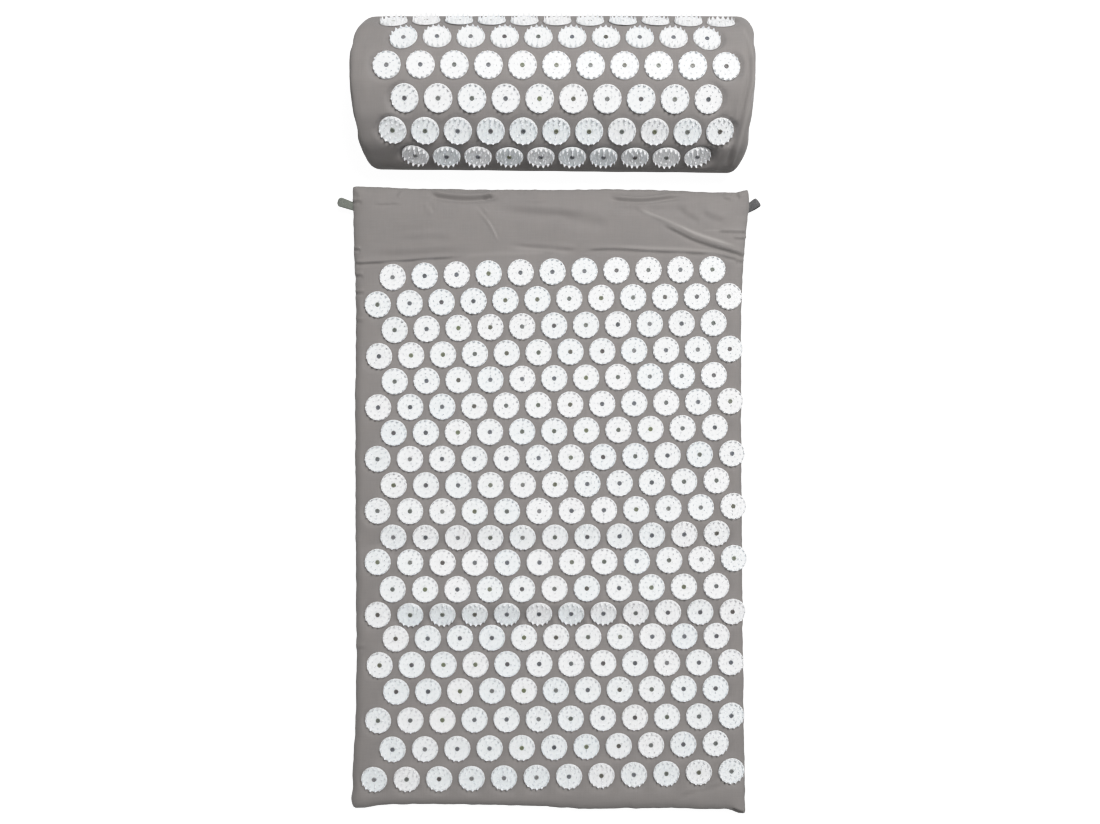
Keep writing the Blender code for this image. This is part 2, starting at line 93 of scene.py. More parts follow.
def noiseAt(points, scale, seed):
    # Even noise from -1 to 1 at an array of points
    shift = Vector((seed * 7.31, seed * 3.17, seed * 5.71))
    return np.array([noise.noise(Vector(point) * scale + shift) for point in points])


def meshPiece(name, vertices, faces, smooth=True):
    mesh = bpy.data.meshes.new(name)
    mesh.from_pydata([tuple(vertex) for vertex in vertices], [], faces)
    mesh.update()
    if smooth:
        mesh.shade_smooth()
    piece = bpy.data.objects.new(name, mesh)
    scene.collection.objects.link(piece)
    return piece


def readArray(collection, name, width=1, kind=float):
    flat = np.empty(len(collection) * width, kind)
    collection.foreach_get(name, flat)
    return flat.reshape(-1, width) if width > 1 else flat


def setPoints(mesh, points):
    mesh.vertices.foreach_set("co", np.asarray(points, float).ravel())
    mesh.update()


def setAttribute(mesh, name, values):
    attribute = mesh.attributes.new(name, "FLOAT", "POINT")
    attribute.data.foreach_set("value", np.asarray(values, np.float32).ravel())


def setWeave(mesh, values):
    # Where each vertex lies on the cloth, for the weave in the material
    layer = mesh.uv_layers.new(name="weave")
    corners = readArray(mesh.loops, "vertex_index", 1, int)
    layer.data.foreach_set("uv", np.asarray(values)[corners].ravel())


def quads(index):
    # Faces over a grid of vertex numbers
    return np.stack([index[:-1, :-1], index[:-1, 1:], index[1:, 1:], index[1:, :-1]], -1)


def tubeFaces(rings, around):
    index = np.arange(rings * around).reshape(rings, around)
    return quads(np.concatenate([index, index[:, :1]], 1)).reshape(-1, 4).tolist()


@contextmanager
def reworked(piece):
    worked = bmesh.new()
    worked.from_mesh(piece.data)
    yield worked
    worked.to_mesh(piece.data)
    worked.free()


def faceOutwards(piece):
    with reworked(piece) as worked:
        bmesh.ops.recalc_face_normals(worked, faces=worked.faces)


def evaluatedMesh(piece):
    depsgraph = bpy.context.evaluated_depsgraph_get()
    return bpy.data.meshes.new_from_object(piece.evaluated_get(depsgraph), depsgraph=depsgraph)


def applyModifiers(piece):
    mesh = evaluatedMesh(piece)
    piece.modifiers.clear()
    piece.data = mesh


def refine(piece):
    finer = piece.modifiers.new("finer", "SUBSURF")
    finer.levels = finer.render_levels = 1
    applyModifiers(piece)


# Folds, and the crease ridges that get a painted highlight, are read off the photo, as lines in its
# pixels

def photoLine(points, steps=12):
    at = np.linspace(0, len(points) - 1, (len(points) - 1) * steps + 1)
    return np.stack([curveThrough(range(len(points)), values, at) for values in zip(*points)], 1)


def nearLine(px, py, line, reach):
    return np.flatnonzero((px > line[:, 0].min() - reach) & (px < line[:, 0].max() + reach)
                          & (py > line[:, 1].min() - reach) & (py < line[:, 1].max() + reach))


def foldHeights(px, py, folds, depth=1.0):
    # A ridge on a fold line's left and a valley on its right, which rise and fall along it
    heights = np.zeros(len(px))
    for ridge, valley, width, rise, fall, *points in folds:
        line = photoLine(points) if len(points) > 2 else np.array(points, float)
        near = nearLine(px, py, line, 4 * width)
        x, y = px[near], py[near]
        best, side, along = np.full(len(x), 1e9), np.zeros(len(x)), np.zeros(len(x))
        lengths = np.hypot(*(line[1:] - line[:-1]).T)
        run = 0
        for start, end, length in zip(line[:-1], line[1:], lengths):
            direction = (end - start) / length
            t = np.clip((x - start[0]) * direction[0] + (y - start[1]) * direction[1], 0, length)
            dx, dy = x - start[0] - direction[0] * t, y - start[1] - direction[1] * t
            distance = np.hypot(dx, dy)
            closer = distance < best
            best = np.where(closer, distance, best)
            side = np.where(closer, np.sign(dx * direction[1] - dy * direction[0]), side)
            along = np.where(closer, (run + t) / lengths.sum(), along)
            run += length
        signed = best * side / width
        fade = np.minimum(smoothStep(along, -0.001, rise), 1 - smoothStep(along, 1 - fall, 1.001))
        heights[near] += (ridge * np.exp(-(signed - 0.8) ** 2)
                          - valley * np.exp(-(signed + 0.8) ** 2)) * fade * depth / 1000
    return heights


def paintedHighlightAlong(px, py, lines):
    # The share of painted highlight, 0 to 1, which fades at the ends of each line
    paintedHighlight = np.zeros(len(px))
    for width, most, *points in lines:
        line = photoLine(points, 40)
        near = nearLine(px, py, line, 6)
        away = np.hypot(px[near, None] - line[:, 0], py[near, None] - line[:, 1])
        along = away.argmin(1) / (len(line) - 1)
        fade = smoothStep(along, 0, 0.2) * (1 - smoothStep(along, 0.8, 1))
        paintedHighlight[near] = np.maximum(paintedHighlight[near], np.exp(-(away.min(1) / width) ** 2) * fade * most)
    return paintedHighlight


swell = {
    "pressure": 4,
    "quality": 6,
    "mass": 0.3,
    "stiffness": 14,
    "frames": 16,
}


def relaxCloth(piece, held, bending, furthest):
    # The held points stay, and the rest of the cloth swells a little under pressure
    before = readArray(piece.data.vertices, "co", 3)
    group = piece.vertex_groups.new(name="held")
    group.add(np.flatnonzero(held).tolist(), 1.0, "REPLACE")
    cloth = piece.modifiers.new("cloth", "CLOTH")
    cloth.point_cache.frame_start = 1
    cloth.point_cache.frame_end = swell["frames"]
    settings = cloth.settings
    settings.vertex_group_mass = "held"
    settings.use_pressure = True
    settings.uniform_pressure_force = swell["pressure"]
    settings.effector_weights.gravity = 0
    settings.quality = swell["quality"]
    settings.mass = swell["mass"]
    settings.tension_stiffness = settings.compression_stiffness = swell["stiffness"]
    settings.shear_stiffness = swell["stiffness"] / 3
    settings.bending_stiffness = bending
    for frameNumber in range(1, swell["frames"] + 1):
        scene.frame_set(frameNumber)
    swollen = evaluatedMesh(piece)
    move = readArray(swollen.vertices, "co", 3) - before
    piece.modifiers.clear()
    piece.vertex_groups.clear()
    bpy.data.meshes.remove(swollen)
    scene.frame_set(1)
    length = np.linalg.norm(move, axis=1, keepdims=True)
    move *= np.minimum(1, furthest / np.maximum(length, 1e-9))
    setPoints(piece.data, before + move)
    print(f"  {piece.name}: points moved {length.mean() * 1000:.2f} mm, "
          f"at most {length.max() * 1000:.2f}")


print("Setting out the discs")
disc = {
    "radius": 0.01415,
    "pillowRadius": 0.01445,
    "thickness": 0.0013,
    "edge": 0.0003,
    "sides": 24,
    "spikeHeight": 0.0042,
    "spikeRadius": 0.00140,
    "spikeSides": 6,
    "shoulder": (0.28, 0.8),   # where a spike grows blunter: shares of its radius and height
    "spikeSink": 0.0001,       # how deep the spikes stand in the plate
    "sharpFrom": 0.5,          # radians between faces from which the plate's edges are sharp
    "outerRing": 0.01300,
    "pillowOuterRing": 0.0133,
    "middleRing": 0.0083,
    "innerRing": 0.0046,
    "lift": 0.0003,            # the plate's underside over the fabric
    "clothFade": 0.006,        # how far round a disc the folds die away
    "matRim": 0.0016,          # how far past the discs the cloth is held flat
    "pillowRim": 0.0012,
    "sink": 0.0003,            # how deep the discs press into the cloth
}
rivet = {
    "headRadius": 0.0025,
    "headHeight": 0.0010,
    "hollowRadius": 0.0012,
    "hollowDepth": 0.0008,
    "topShare": 0.86,          # of the head's radius, at its top
    "floorShare": 0.7,         # of the hollow's radius, at its floor
    "sides": 12,
    "sharpFrom": 38,           # degrees
}

matField = {
    # Photo rows from the head down: the middle's height and the first disc's place, in pixels
    "rowY": (271.5, 298.8, 325.5, 352, 378.3, 404.8, 431, 457.8, 484.5, 511,
             537.2, 562.5, 589, 614, 637.5, 664, 690.5, 719, 747.5, 777),
    "rowShift": (-1, 0, 1, 1.5, 1, 0.5, 0, 0, 0, 0, -0.5, 0, -1, 0, 2, 2, 2.5, 0.5, -1, -3.5),
    "shortRowStart": 393.5,
    "longRowStart": 377.5,
    "shortRowCount": 11,
    "middlePx": 554,
    "halfPx": 178,
    "pitchStations": (1, 4, 9, 14, 16, 20),
    "pitch": (32.0, 31.9, 32.3, 32.3, 31.95, 32.5),
    "dropStations": (1, 7, 13, 17, 20),      # how far the rows hang at their left end
    "drop": (4.3, 3.0, 1.8, 1.8, 4.2),
    "bowStations": (1, 5, 9, 11, 15, 20),
    "bow": (-2, 0, 2, 2.5, 0, 1.5),
    # Degrees by which a row's discs lean to the foot, at its left end, middle and right end
    "lean": ((2, 2, 2), (5, 2, 2), (7, 6, 7), (6, 4, 3), (3, 2, 0), (4, 2, 3), (4, 3, 2),
             (4, 4, 4), (6, 3, 3), (2, 1, 0), (18, 15, 12), (0, 0, 0), (0, 0, 0),
             (4, 21, 25, 26, 25, 18, 11, 10), (6, 5, 7), (3, 3, 3), (5, 4, 3), (6, 5, 4),
             (7, 7, 6), (10, 10, 9)),
    "dippedRow": 13,           # this row lies in the deep dip, and its lean has stations of its own
    "dippedStations": (-1, -0.8, -0.6, -0.1, 0.28, 0.46, 0.64, 1),
    "dippedShare": 0.75,       # of the dip's depth, for its discs
    "endLean": 6,
    "loose": 1.6,              # degrees of chance tilt
    "seed": 4,
}


def matDiscPlaces():
    # Each disc's place in the photo, its row and its tilts in degrees
    field = matField
    chance = random.Random(field["seed"])
    places = []
    for row, rowY in enumerate(field["rowY"]):
        short = row % 2 == 0
        startX = field["shortRowStart" if short else "longRowStart"] + field["rowShift"][row]
        pitch, drop, bow = (
            float(curveThrough(field[name + "Stations"], field[name], np.array(row + 1)))
            for name in ("pitch", "drop", "bow"))
        leanStations = field["dippedStations"] if row == field["dippedRow"] else (-1, 0, 1)
        for index in range(field["shortRowCount"] + (not short)):
            px = startX + pitch * index
            across = (px - field["middlePx"]) / field["halfPx"]
            py = rowY - drop * across - bow * across**2
            lean = float(curveThrough(leanStations, field["lean"][row], np.array(across)))
            sideways = field["endLean"] * np.sign(across) * smoothStep(abs(across), 0.82, 1.0)
            lean += chance.uniform(-1, 1) * field["loose"]
            sideways += chance.uniform(-1, 1) * field["loose"]
            places.append({"px": px, "py": py, "row": row, "lean": lean,
                           "sideways": float(sideways)})
    return places


def discNormal(place):
    lean = math.radians(place["lean"])
    sideways = math.radians(place["sideways"])
    return Vector((math.tan(sideways), -math.tan(lean), 1)).normalized()


print("Building the mat's cover")
matShape = {
    "halfWidth": 0.210,
    "halfLength": 0.333,
    "thickness": 0.020,
    "seamHeight": 0.010,
    "seamGroove": 0.0007,
    "seamWidth": 0.0010,
    "roll": 0.0105,            # how far in the rolled edge starts
    "rollSteps": 5,
    "cornerRadius": 0.004,
    "seamCorner": 12.0,        # how square the corners are at the seam and on the top
    "topCorner": 4.0,
    "pitch": 0.0051,           # spacing of the woven net that the cloth is worked out on
    "wander": (0.05, 0.04),    # how far in the outline's wandering reaches, at sides and ends
    "creasedFrom": 0.190,      # the head's strip, where the net is finer
    "seamHold": 0.0035,        # how far from the seam the cloth is held as it swells
    "seamBand": 0.007,         # how far from the edge the puckers reach
    "creaseDepth": 1.9,
    "pucker": 0.0011,
    "unevenness": 0.0009,
    "bending": 0.6,
    "furthest": 0.0028,        # how far the cloth may swell
    # Outline read off the photo: millimetres outwards at places along each side
    "leftStations": (-0.333, -0.325, -0.314, -0.300, -0.250, -0.200, -0.100, 0.100, 0.220, 0.250,
                     0.300, 0.333),
    "left": (2.8, 5.0, 3.0, 3.4, 0.8, -0.6, -0.2, 0.6, 0.0, 1.0, 2.6, 3.2),
    "rightStations": (-0.333, -0.300, -0.250, -0.150, -0.050, 0.100, 0.230, 0.270, 0.300, 0.320,
                      0.333),
    "right": (1.2, 0.6, -0.2, -1.6, -2.4, -3.3, -2.2, 0.4, 3.6, 5.2, 4.0),
    "headStations": (-0.210, -0.190, -0.150, -0.100, 0.000, 0.090, 0.140, 0.180, 0.200, 0.210),
    "head": (3.1, 2.7, 0.9, 0.1, -0.3, 0.0, -1.6, -3.2, -2.6, 0.6),
    "footStations": (-0.210, -0.200, -0.185, -0.150, -0.080, 0.000, 0.030, 0.090, 0.170, 0.195,
                     0.204, 0.210),
    "foot": (1.4, 1.2, -1.0, -2.4, -1.8, 0.2, 2.2, 1.8, 2.6, 3.8, 7.6, 7.2),
}
matOpening = {"y": 0.281, "middleX": 0.0, "halfLength": 0.172, "halfWidth": 0.0012, "depth": 0.0014}

# Where the mat has been folded, its top dips along these lines, and the discs beside them lean
matDips = (
    {"line": ((372, 627), (400, 627.5), (440, 626), (500, 625.5), (560, 626), (620, 624.5),
              (680, 621), (735, 617)), "depth": (1.0, 4.5, 8.0, 8.5, 8.2, 6.0, 3.0, 1.4)},
    {"line": ((372, 550), (430, 551), (500, 551), (570, 550.5), (650, 548), (735, 545)),
     "depth": (3.2, 3.6, 3.2, 2.6, 2.2, 1.6)},
)

# Each fold: ridge and valley in millimetres, half width in pixels, the shares of its length over
# which it rises and falls, and its line's points
matFolds = (
    # The long slanting fold at the head's right side
    (1.25, 0.0, 2.3, 0.12, 0.05, (633, 206), (643, 212), (657, 218), (677, 227), (693, 236),
     (717, 245), (744, 254)),
    (0.7, 1.1, 1.9, 0.18, 0.04, (660, 223), (677, 231.5), (693, 239.5), (710, 245.5), (733, 252.5),
     (746, 257)),
    # Sagging arcs under the head edge
    (1.5, 1.8, 2.5, 0.15, 0.15, (428, 192), (440, 195.5), (455, 197.5), (470, 198), (484, 197),
     (500, 195.2)),
    (1.2, 1.5, 2.1, 0.15, 0.3, (608, 196.5), (620, 199), (640, 200.3), (657, 199), (672, 197),
     (690, 197)),
    (0.8, 1.3, 1.3, 0.25, 0.25, (482, 198.5), (487, 196.5), (492, 195)),
    (0.35, 0.5, 2.6, 0.25, 0.25, (500, 196.5), (520, 198.5), (548, 198)),
    # Fine slanting crease left of the middle
    (0.5, 0.15, 1.3, 0.3, 0.4, (501, 243), (497, 236), (491, 225), (484, 216), (474, 206)),
    (0.3, 0.1, 1.4, 0.25, 0.25, (490, 214), (482, 205)),
    # The fold that runs level across from it
    (0.3, 0.5, 2.4, 0.35, 0.3, (504, 242), (528, 245.5), (560, 247.5), (584, 250)),
    (0.7, 0.8, 2.0, 0.1, 0.05, (583, 250.3), (613, 249.2), (650, 251.2), (683, 252.5),
     (712, 254.5), (744, 260)),
    (0.3, 0.2, 2.6, 0.25, 0.25, (540, 253), (560, 250.5), (578, 248.5)),
    # Tuck above the first row of discs, on the left
    (1.1, 1.1, 1.8, 0.03, 0.3, (355, 263.5), (393, 261.6), (435, 258.5), (468, 257)),
    (0.3, 0.4, 4.0, 0.3, 0.4, (358, 252), (400, 252), (440, 250), (480, 248)),
    # Broad soft bands
    (1.0, 1.2, 5.5, 0.3, 0.4, (485, 204), (520, 208.5), (560, 211.5), (612, 213)),
    (0.4, 0.8, 5.5, 0.25, 0.25, (560, 216), (585, 219), (612, 221)),
    (0.5, 0.6, 4.5, 0.25, 0.25, (608, 203.5), (650, 207), (700, 205)),
    (0.5, 0.6, 1.5, 0.25, 0.25, (373, 204.5), (402, 203.5)),
    (0.35, 0.35, 2.4, 0.25, 0.25, (434, 214), (430, 209), (426, 202)),
    (0.4, 0.3, 1.9, 0.25, 0.25, (400, 190), (397, 198)),
    (0.25, 0.2, 4.0, 0.25, 0.25, (392, 229), (420, 226), (440, 222)),
    (0.3, 0.2, 3.6, 0.25, 0.25, (395, 238), (425, 236), (455, 237)),
    # Drag lines from the right loop and side
    (0.35, 0.7, 3.6, 0.25, 0.25, (679, 205), (687, 213), (702, 221)),
    (0.4, 0.6, 3.8, 0.25, 0.25, (700, 208), (712, 216), (728, 221)),
    (0.7, 0.6, 2.2, 0.25, 0.03, (716, 231), (746, 232.3)),
    (0.7, 0.6, 1.8, 0.25, 0.03, (733, 238), (746, 238.6)),
    (0.6, 0.4, 1.8, 0.25, 0.25, (722, 197), (732, 200)),
    (0.7, 0.5, 2.0, 0.25, 0.25, (736, 192), (741, 199)),
    # Gathers along the sides
    (0.6, 0.7, 1.8, 0.02, 0.25, (352, 201.5), (362, 201)),
    (0.5, 0.9, 1.6, 0.02, 0.25, (352, 248.5), (361, 249.5)),
    (0.5, 0.6, 1.8, 0.02, 0.25, (353, 275), (364, 275.5)),
    (0.5, 0.6, 1.8, 0.02, 0.25, (354, 293), (365, 292)),
    (0.5, 0.6, 1.8, 0.02, 0.25, (354, 320), (364, 321)),
    (0.5, 0.7, 1.8, 0.02, 0.25, (355, 648), (365, 647)),
    (0.7, 0.7, 2.2, 0.25, 0.02, (734, 262), (744, 261)),
    # Folded ear and crease in the foot's right corner
    (0.5, 1.4, 1.6, 0.1, 0.02, (733, 808), (738, 810.5), (743, 812.5)),
    (0.5, 0.6, 1.7, 0.15, 0.1, (679, 796), (700, 789.5), (729, 783)),
)

# Crease ridges with a painted highlight, lighter where the ridges catch the light: half width in
# pixels, share of highlight, and the line's points
matPaintedHighlights = (
    (1.5, 0.75, (636, 207), (646, 212.5), (660, 218.5), (680, 227), (700, 235), (722, 242),
     (738, 247)),
    (0.6, 0.5, (486, 218), (491, 225), (495, 233), (498, 241)),
    (0.9, 0.12, (475, 205), (482, 213), (487, 218)),
    (1.8, 0.25, (505, 247.5), (540, 250), (575, 254)),
    (1.8, 0.3, (610, 246), (650, 248), (690, 249.5), (735, 254)),
    (2.2, 0.25, (458, 256), (500, 253.5), (560, 252)),
    (1.0, 0.3, (700, 230.5), (745, 230)),
)


def netAcross(half):
    # Places across the mat, close together on the rolled edge and even between
    roll, pitch, steps = (matShape[name] for name in ("roll", "pitch", "rollSteps"))
    inner = np.linspace(roll - half, half - roll, round(2 * (half - roll) / pitch) + 1)
    angles = np.linspace(0, math.pi / 2, steps + 1)[:-1]
    outer = half - roll * (1 - np.cos(angles))
    return np.concatenate([-outer, inner, outer[::-1]])


def matNet():
    # A closed slab as one net over the top and one under it, which share the side seam
    shape = matShape
    halfWidth, halfLength = shape["halfWidth"], shape["halfLength"]
    gridX, gridY = np.meshgrid(netAcross(halfWidth), netAcross(halfLength), indexing="ij")
    inset = np.minimum(halfWidth - abs(gridX), halfLength - abs(gridY))
    radius = shape["cornerRadius"] + shape["roll"]
    a = abs(gridX) - (halfWidth - radius)
    b = abs(gridY) - (halfLength - radius)
    corner = (a > 0) & (b > 0)
    # In a corner the square rings become rings of a fuller curve
    power = shape["seamCorner"] + (shape["topCorner"] - shape["seamCorner"]) * smoothStep(
        inset, 0, shape["roll"])
    fullness = (abs(a / radius)**power + abs(b / radius)**power) ** (1 / power)
    stretch = np.where(corner, np.maximum(a, b) / radius / np.maximum(fullness, 1e-6), 1)
    gridX = np.where(corner, np.sign(gridX) * (halfWidth - radius + a * stretch), gridX)
    gridY = np.where(corner, np.sign(gridY) * (halfLength - radius + b * stretch), gridY)
    share = np.clip(inset / shape["roll"], 0, 1)
    rise = np.sqrt(1 - (1 - share) ** 2)

    # The outline wanders as in the photo, and the inside follows less and less
    left, right, head, foot = (
        curveThrough(shape[name + "Stations"], shape[name], along) / 1000
        for name, along in (("left", gridY), ("right", gridY), ("head", gridX), ("foot", gridX)))
    nearSide = smoothStep(abs(gridX), halfWidth - shape["wander"][0], halfWidth)
    nearEnd = smoothStep(abs(gridY), halfLength - shape["wander"][1], halfLength)
    x = gridX + np.where(gridX > 0, right, -left) * nearSide
    y = gridY + np.where(gridY > 0, head, -foot) * nearEnd
    top = shape["seamHeight"] + (shape["thickness"] - shape["seamHeight"]) * rise
    low = shape["seamHeight"] * (1 - rise)
    return x, y, top, low, inset


def dipHeights(px, py):
    # A dip falls slowly from the head's side and comes up steeply on the foot's side
    slowReach, steepReach, humpShare, humpWidth = 26, 6.5, 0.28, 7      # pixels
    heights = np.zeros(len(px))
    for dip in matDips:
        lineX = [point[0] for point in dip["line"]]
        lineY = curveThrough(lineX, [point[1] for point in dip["line"]], px)
        depth = curveThrough(lineX, dip["depth"], px)
        away = lineY - py          # pixels towards the head
        slow = np.where(away > 0, np.clip(1 - away / slowReach, 0, 1) ** 1.25, 0)
        steep = np.where(away <= 0, 1 - smoothStep(-away, 0, steepReach), 0)
        hump = humpShare * np.exp(-((away - slowReach) / humpWidth) ** 2)
        heights -= depth * (slow + steep - hump) / 1000
    return heights


def holdUnderDiscs(points, places, reach):
    # Presses the cloth flat under every disc, and says which points it holds
    held = np.zeros(len(points), bool)
    flat = points.copy()
    for place in places:
        centre, normal = np.array(place["centre"]), np.array(place["normal"])
        offset = points - centre
        near = np.flatnonzero((np.hypot(offset[:, 0], offset[:, 1]) < reach)
                              & (points[:, 2] > matShape["seamHeight"]))
        lift = -(offset[near, 0] * normal[0] + offset[near, 1] * normal[1]) / normal[2]
        inPlane = np.sqrt(offset[near, 0] ** 2 + offset[near, 1] ** 2 + lift**2)
        near, lift = near[inPlane < reach], lift[inPlane < reach]
        flat[near, 2] = centre[2] + lift - disc["sink"]
        held[near] = True
    return flat, held


x, y, top, low, inset = matNet()
inside = np.zeros(x.shape, bool)
inside[1:-1, 1:-1] = True
topIndex = np.arange(x.size).reshape(x.shape)
bottomIndex = topIndex.copy()
bottomIndex[inside] = x.size + np.arange(inside.sum())
matPoints = np.concatenate([np.stack([x.ravel(), y.ravel(), top.ravel()], 1),
                            np.stack([x[inside], y[inside], low[inside]], 1)])
isTop = np.arange(len(matPoints)) < x.size
edgeInset = np.concatenate([inset.ravel(), inset[inside]])

px, py = toPhoto(matPoints)
level = smoothStep(edgeInset, 0.002, 0.014) * isTop
matPoints[:, 2] += dipHeights(px, py) * level
flatPoints = matPoints * (1, 1, 0)
uneven = noiseAt(flatPoints, 13, 1) * 0.5 + noiseAt(flatPoints, 34, 2) * 0.25
matPoints[:, 2] += uneven * matShape["unevenness"] * level

discHeight = {"read": 0.0022, "set": -0.0004}      # over the mat's top, in the photo and here
matPlaces = matDiscPlaces()
for place in matPlaces:
    middle = dipHeights(np.array([place["px"]]), np.array([place["py"]]))[0]
    if place["row"] == matField["dippedRow"]:
        middle *= matField["dippedShare"]
    discX, discY = fromPhoto(place["px"], place["py"], matShape["thickness"] + discHeight["read"])
    place["centre"] = (discX, discY, matShape["thickness"] + middle + discHeight["set"])
    place["normal"] = tuple(discNormal(place))
# The row in the deep dip goes last, so that its cloth gives way to it
heldOrder = sorted(matPlaces, key=lambda place: place["row"] == matField["dippedRow"])
matPoints, heldTop = holdUnderDiscs(matPoints, heldOrder, disc["radius"] + disc["matRim"])

# The top's faces are turned the other way round from the bottom's
matFaces = np.stack([quads(topIndex)[..., [0, 3, 2, 1]], quads(bottomIndex)], 2)
matCover = meshPiece("matCover", matPoints, matFaces.reshape(-1, 4).tolist())
setWeave(matCover.data, matPoints[:, :2])
print("Swelling the mat's cover")
relaxCloth(matCover, ~isTop | heldTop | (edgeInset < matShape["seamHold"]), matShape["bending"],
           matShape["furthest"])
refine(matCover)

# The head's strip has the finest creases, so its net is split once more
with reworked(matCover) as worked:
    strip = [edge for edge in worked.edges if all(
        vertex.co.y > matShape["creasedFrom"] and vertex.co.z > 0.008 for vertex in edge.verts)]
    bmesh.ops.subdivide_edges(worked, edges=strip, cuts=1, use_grid_fill=True, smooth=0.6)
matCover.data.shade_smooth()


def clearOfDiscs(points, places, axes):
    # 1 where the cloth is free, down to 0 under a disc
    free = np.ones(len(points))
    for place in places:
        distance = np.linalg.norm(points[:, :axes] - np.array(place["centre"][:axes]), axis=1)
        free = np.minimum(free, smoothStep(distance, disc["radius"],
                                           disc["radius"] + disc["clothFade"]))
    return free


# What the cloth keeps free round a disc: it lies this deep under the plate, and may rise this
# steeply from a little outside its rim, as far as the reach
discRoom = {
    "under": 0.0002,
    "outside": 0.0012,
    "steepness": 1.6,
    "reach": 0.021,
    "box": (0.022, 0.022, 0.016),
}


def keepClear(points, places, upper=True):
    # Presses down what cloth still stands over a disc's underside, or crowds its rim
    for place in places:
        centre, normal = np.array(place["centre"]), np.array(place["normal"])
        near = np.flatnonzero((abs(points - centre) < discRoom["box"]).all(1) & upper)
        offset = points[near] - centre
        depth = offset @ normal
        inPlane = np.linalg.norm(offset - depth[:, None] * normal, axis=1)
        most = (np.clip(inPlane - disc["radius"] - discRoom["outside"], 0, None)
                * discRoom["steepness"] - discRoom["under"])
        excess = np.clip(depth - most, 0, None) * (inPlane < discRoom["reach"])
        points[near] -= excess[:, None] * normal


def cutOpening(piece, opening):
    # The slit between the two panels on the underside: their edges turn up into it
    floorHeight, band, endFade = 0.0006, 0.012, 0.006
    with reworked(piece) as worked:
        for away in (-opening["halfWidth"], 0, opening["halfWidth"]):
            faces = [face for face in worked.faces if all(
                vertex.co.z < floorHeight and abs(vertex.co.y - opening["y"]) < band
                and abs(vertex.co.x - opening["middleX"]) < opening["halfLength"] + 0.004
                for vertex in face.verts)]
            edges = list({edge for face in faces for edge in face.edges})
            corners = list({vertex for face in faces for vertex in face.verts})
            bmesh.ops.bisect_plane(worked, geom=faces + edges + corners, dist=0.00001,
                                   plane_co=(0, opening["y"] + away, 0), plane_no=(0, 1, 0))
        for vertex in worked.verts:
            fromEnd = opening["halfLength"] - abs(vertex.co.x - opening["middleX"])
            onSlit = abs(vertex.co.y - opening["y"]) < 0.00002
            if vertex.co.z < floorHeight and onSlit and fromEnd > 0:
                vertex.co.z = opening["depth"] * min(1, fromEnd / endFade)


print("Folding the mat's cover")
points = readArray(matCover.data.vertices, "co", 3)
normals = readArray(matCover.data.vertex_normals, "vector", 3)
px, py = toPhoto(points)
up = smoothStep(normals[:, 2], 0.1, 0.6)
free = clearOfDiscs(points, matPlaces, 2)
lift = foldHeights(px, py, matFolds, matShape["creaseDepth"]) * up * free
# Small puckers along the side seam
x, y, z = points.T.copy()
fromSide, fromEnd = matShape["halfWidth"] - abs(x), matShape["halfLength"] - abs(y)
onSide = abs(x) / matShape["halfWidth"] > abs(y) / matShape["halfLength"]
puckerPlaces = np.stack([np.where(onSide, y, x), np.sign(x) * 0.3, np.sign(y) * 0.3], 1)
pucker = noiseAt(puckerPlaces, 75, 5) * 0.6 + noiseAt(puckerPlaces, 150, 6) * 0.4
fromEdge = np.clip(np.minimum(fromSide, fromEnd), 0, None)
seamBand = np.exp(-(fromEdge / matShape["seamBand"]) ** 2) * (z > 0.002)
points += normals * (lift + pucker * seamBand * matShape["pucker"] * free)[:, None]
# The side seam's thread draws the edge in
fromSeam = (points[:, 2] - matShape["seamHeight"]) / matShape["seamWidth"]
drawnIn = np.exp(-fromSeam**2) * (abs(normals[:, 2]) < 0.6)
points -= normals * (drawnIn * matShape["seamGroove"])[:, None]
keepClear(points, heldOrder, points[:, 2] > 0.006)
points[:, 2] = np.maximum(points[:, 2], 0.0)
setPoints(matCover.data, points)
# Painted highlight: the upward faces are lighter along the crease ridges
setAttribute(matCover.data, "paintedHighlight", paintedHighlightAlong(px, py, matPaintedHighlights) * up)
cutOpening(matCover, matOpening)


print("Sewing in the ribbon loops")
ribbon = {
    "width": 0.0098,
    "thickness": 0.0009,
    "rootHeight": 0.010,
    # Side view of the loop: how far out of the seam, and how high over it, from the upper end in
    # the seam round the bend to the lower end
    "out": (-0.0045, -0.001, 0.003, 0.007, 0.011, 0.0138, 0.0150, 0.0142, 0.011, 0.007, 0.003,
            -0.001, -0.0045),
    "up": (0.0007, 0.0010, 0.0021, 0.0031, 0.0034, 0.0025, 0.0003, -0.0019, -0.0029, -0.0027,
           -0.0019, -0.0010, -0.0007),
    "steps": 60,
    "across": 9,               # points across the ribbon's section
    "seamWidth": 0.88,         # share of its width in the seam
}
loops = (
    {"name": "leftLoop", "side": -1, "root": (0.2128, 0.3146), "skew": 19.4, "twist": 14,
     "roundTip": 0.0022, "scale": 1.13},
    {"name": "rightLoop", "side": 1, "root": (0.2133, 0.3117), "skew": 33, "twist": -10,
     "roundTip": 0.0006, "scale": 0.94},
)


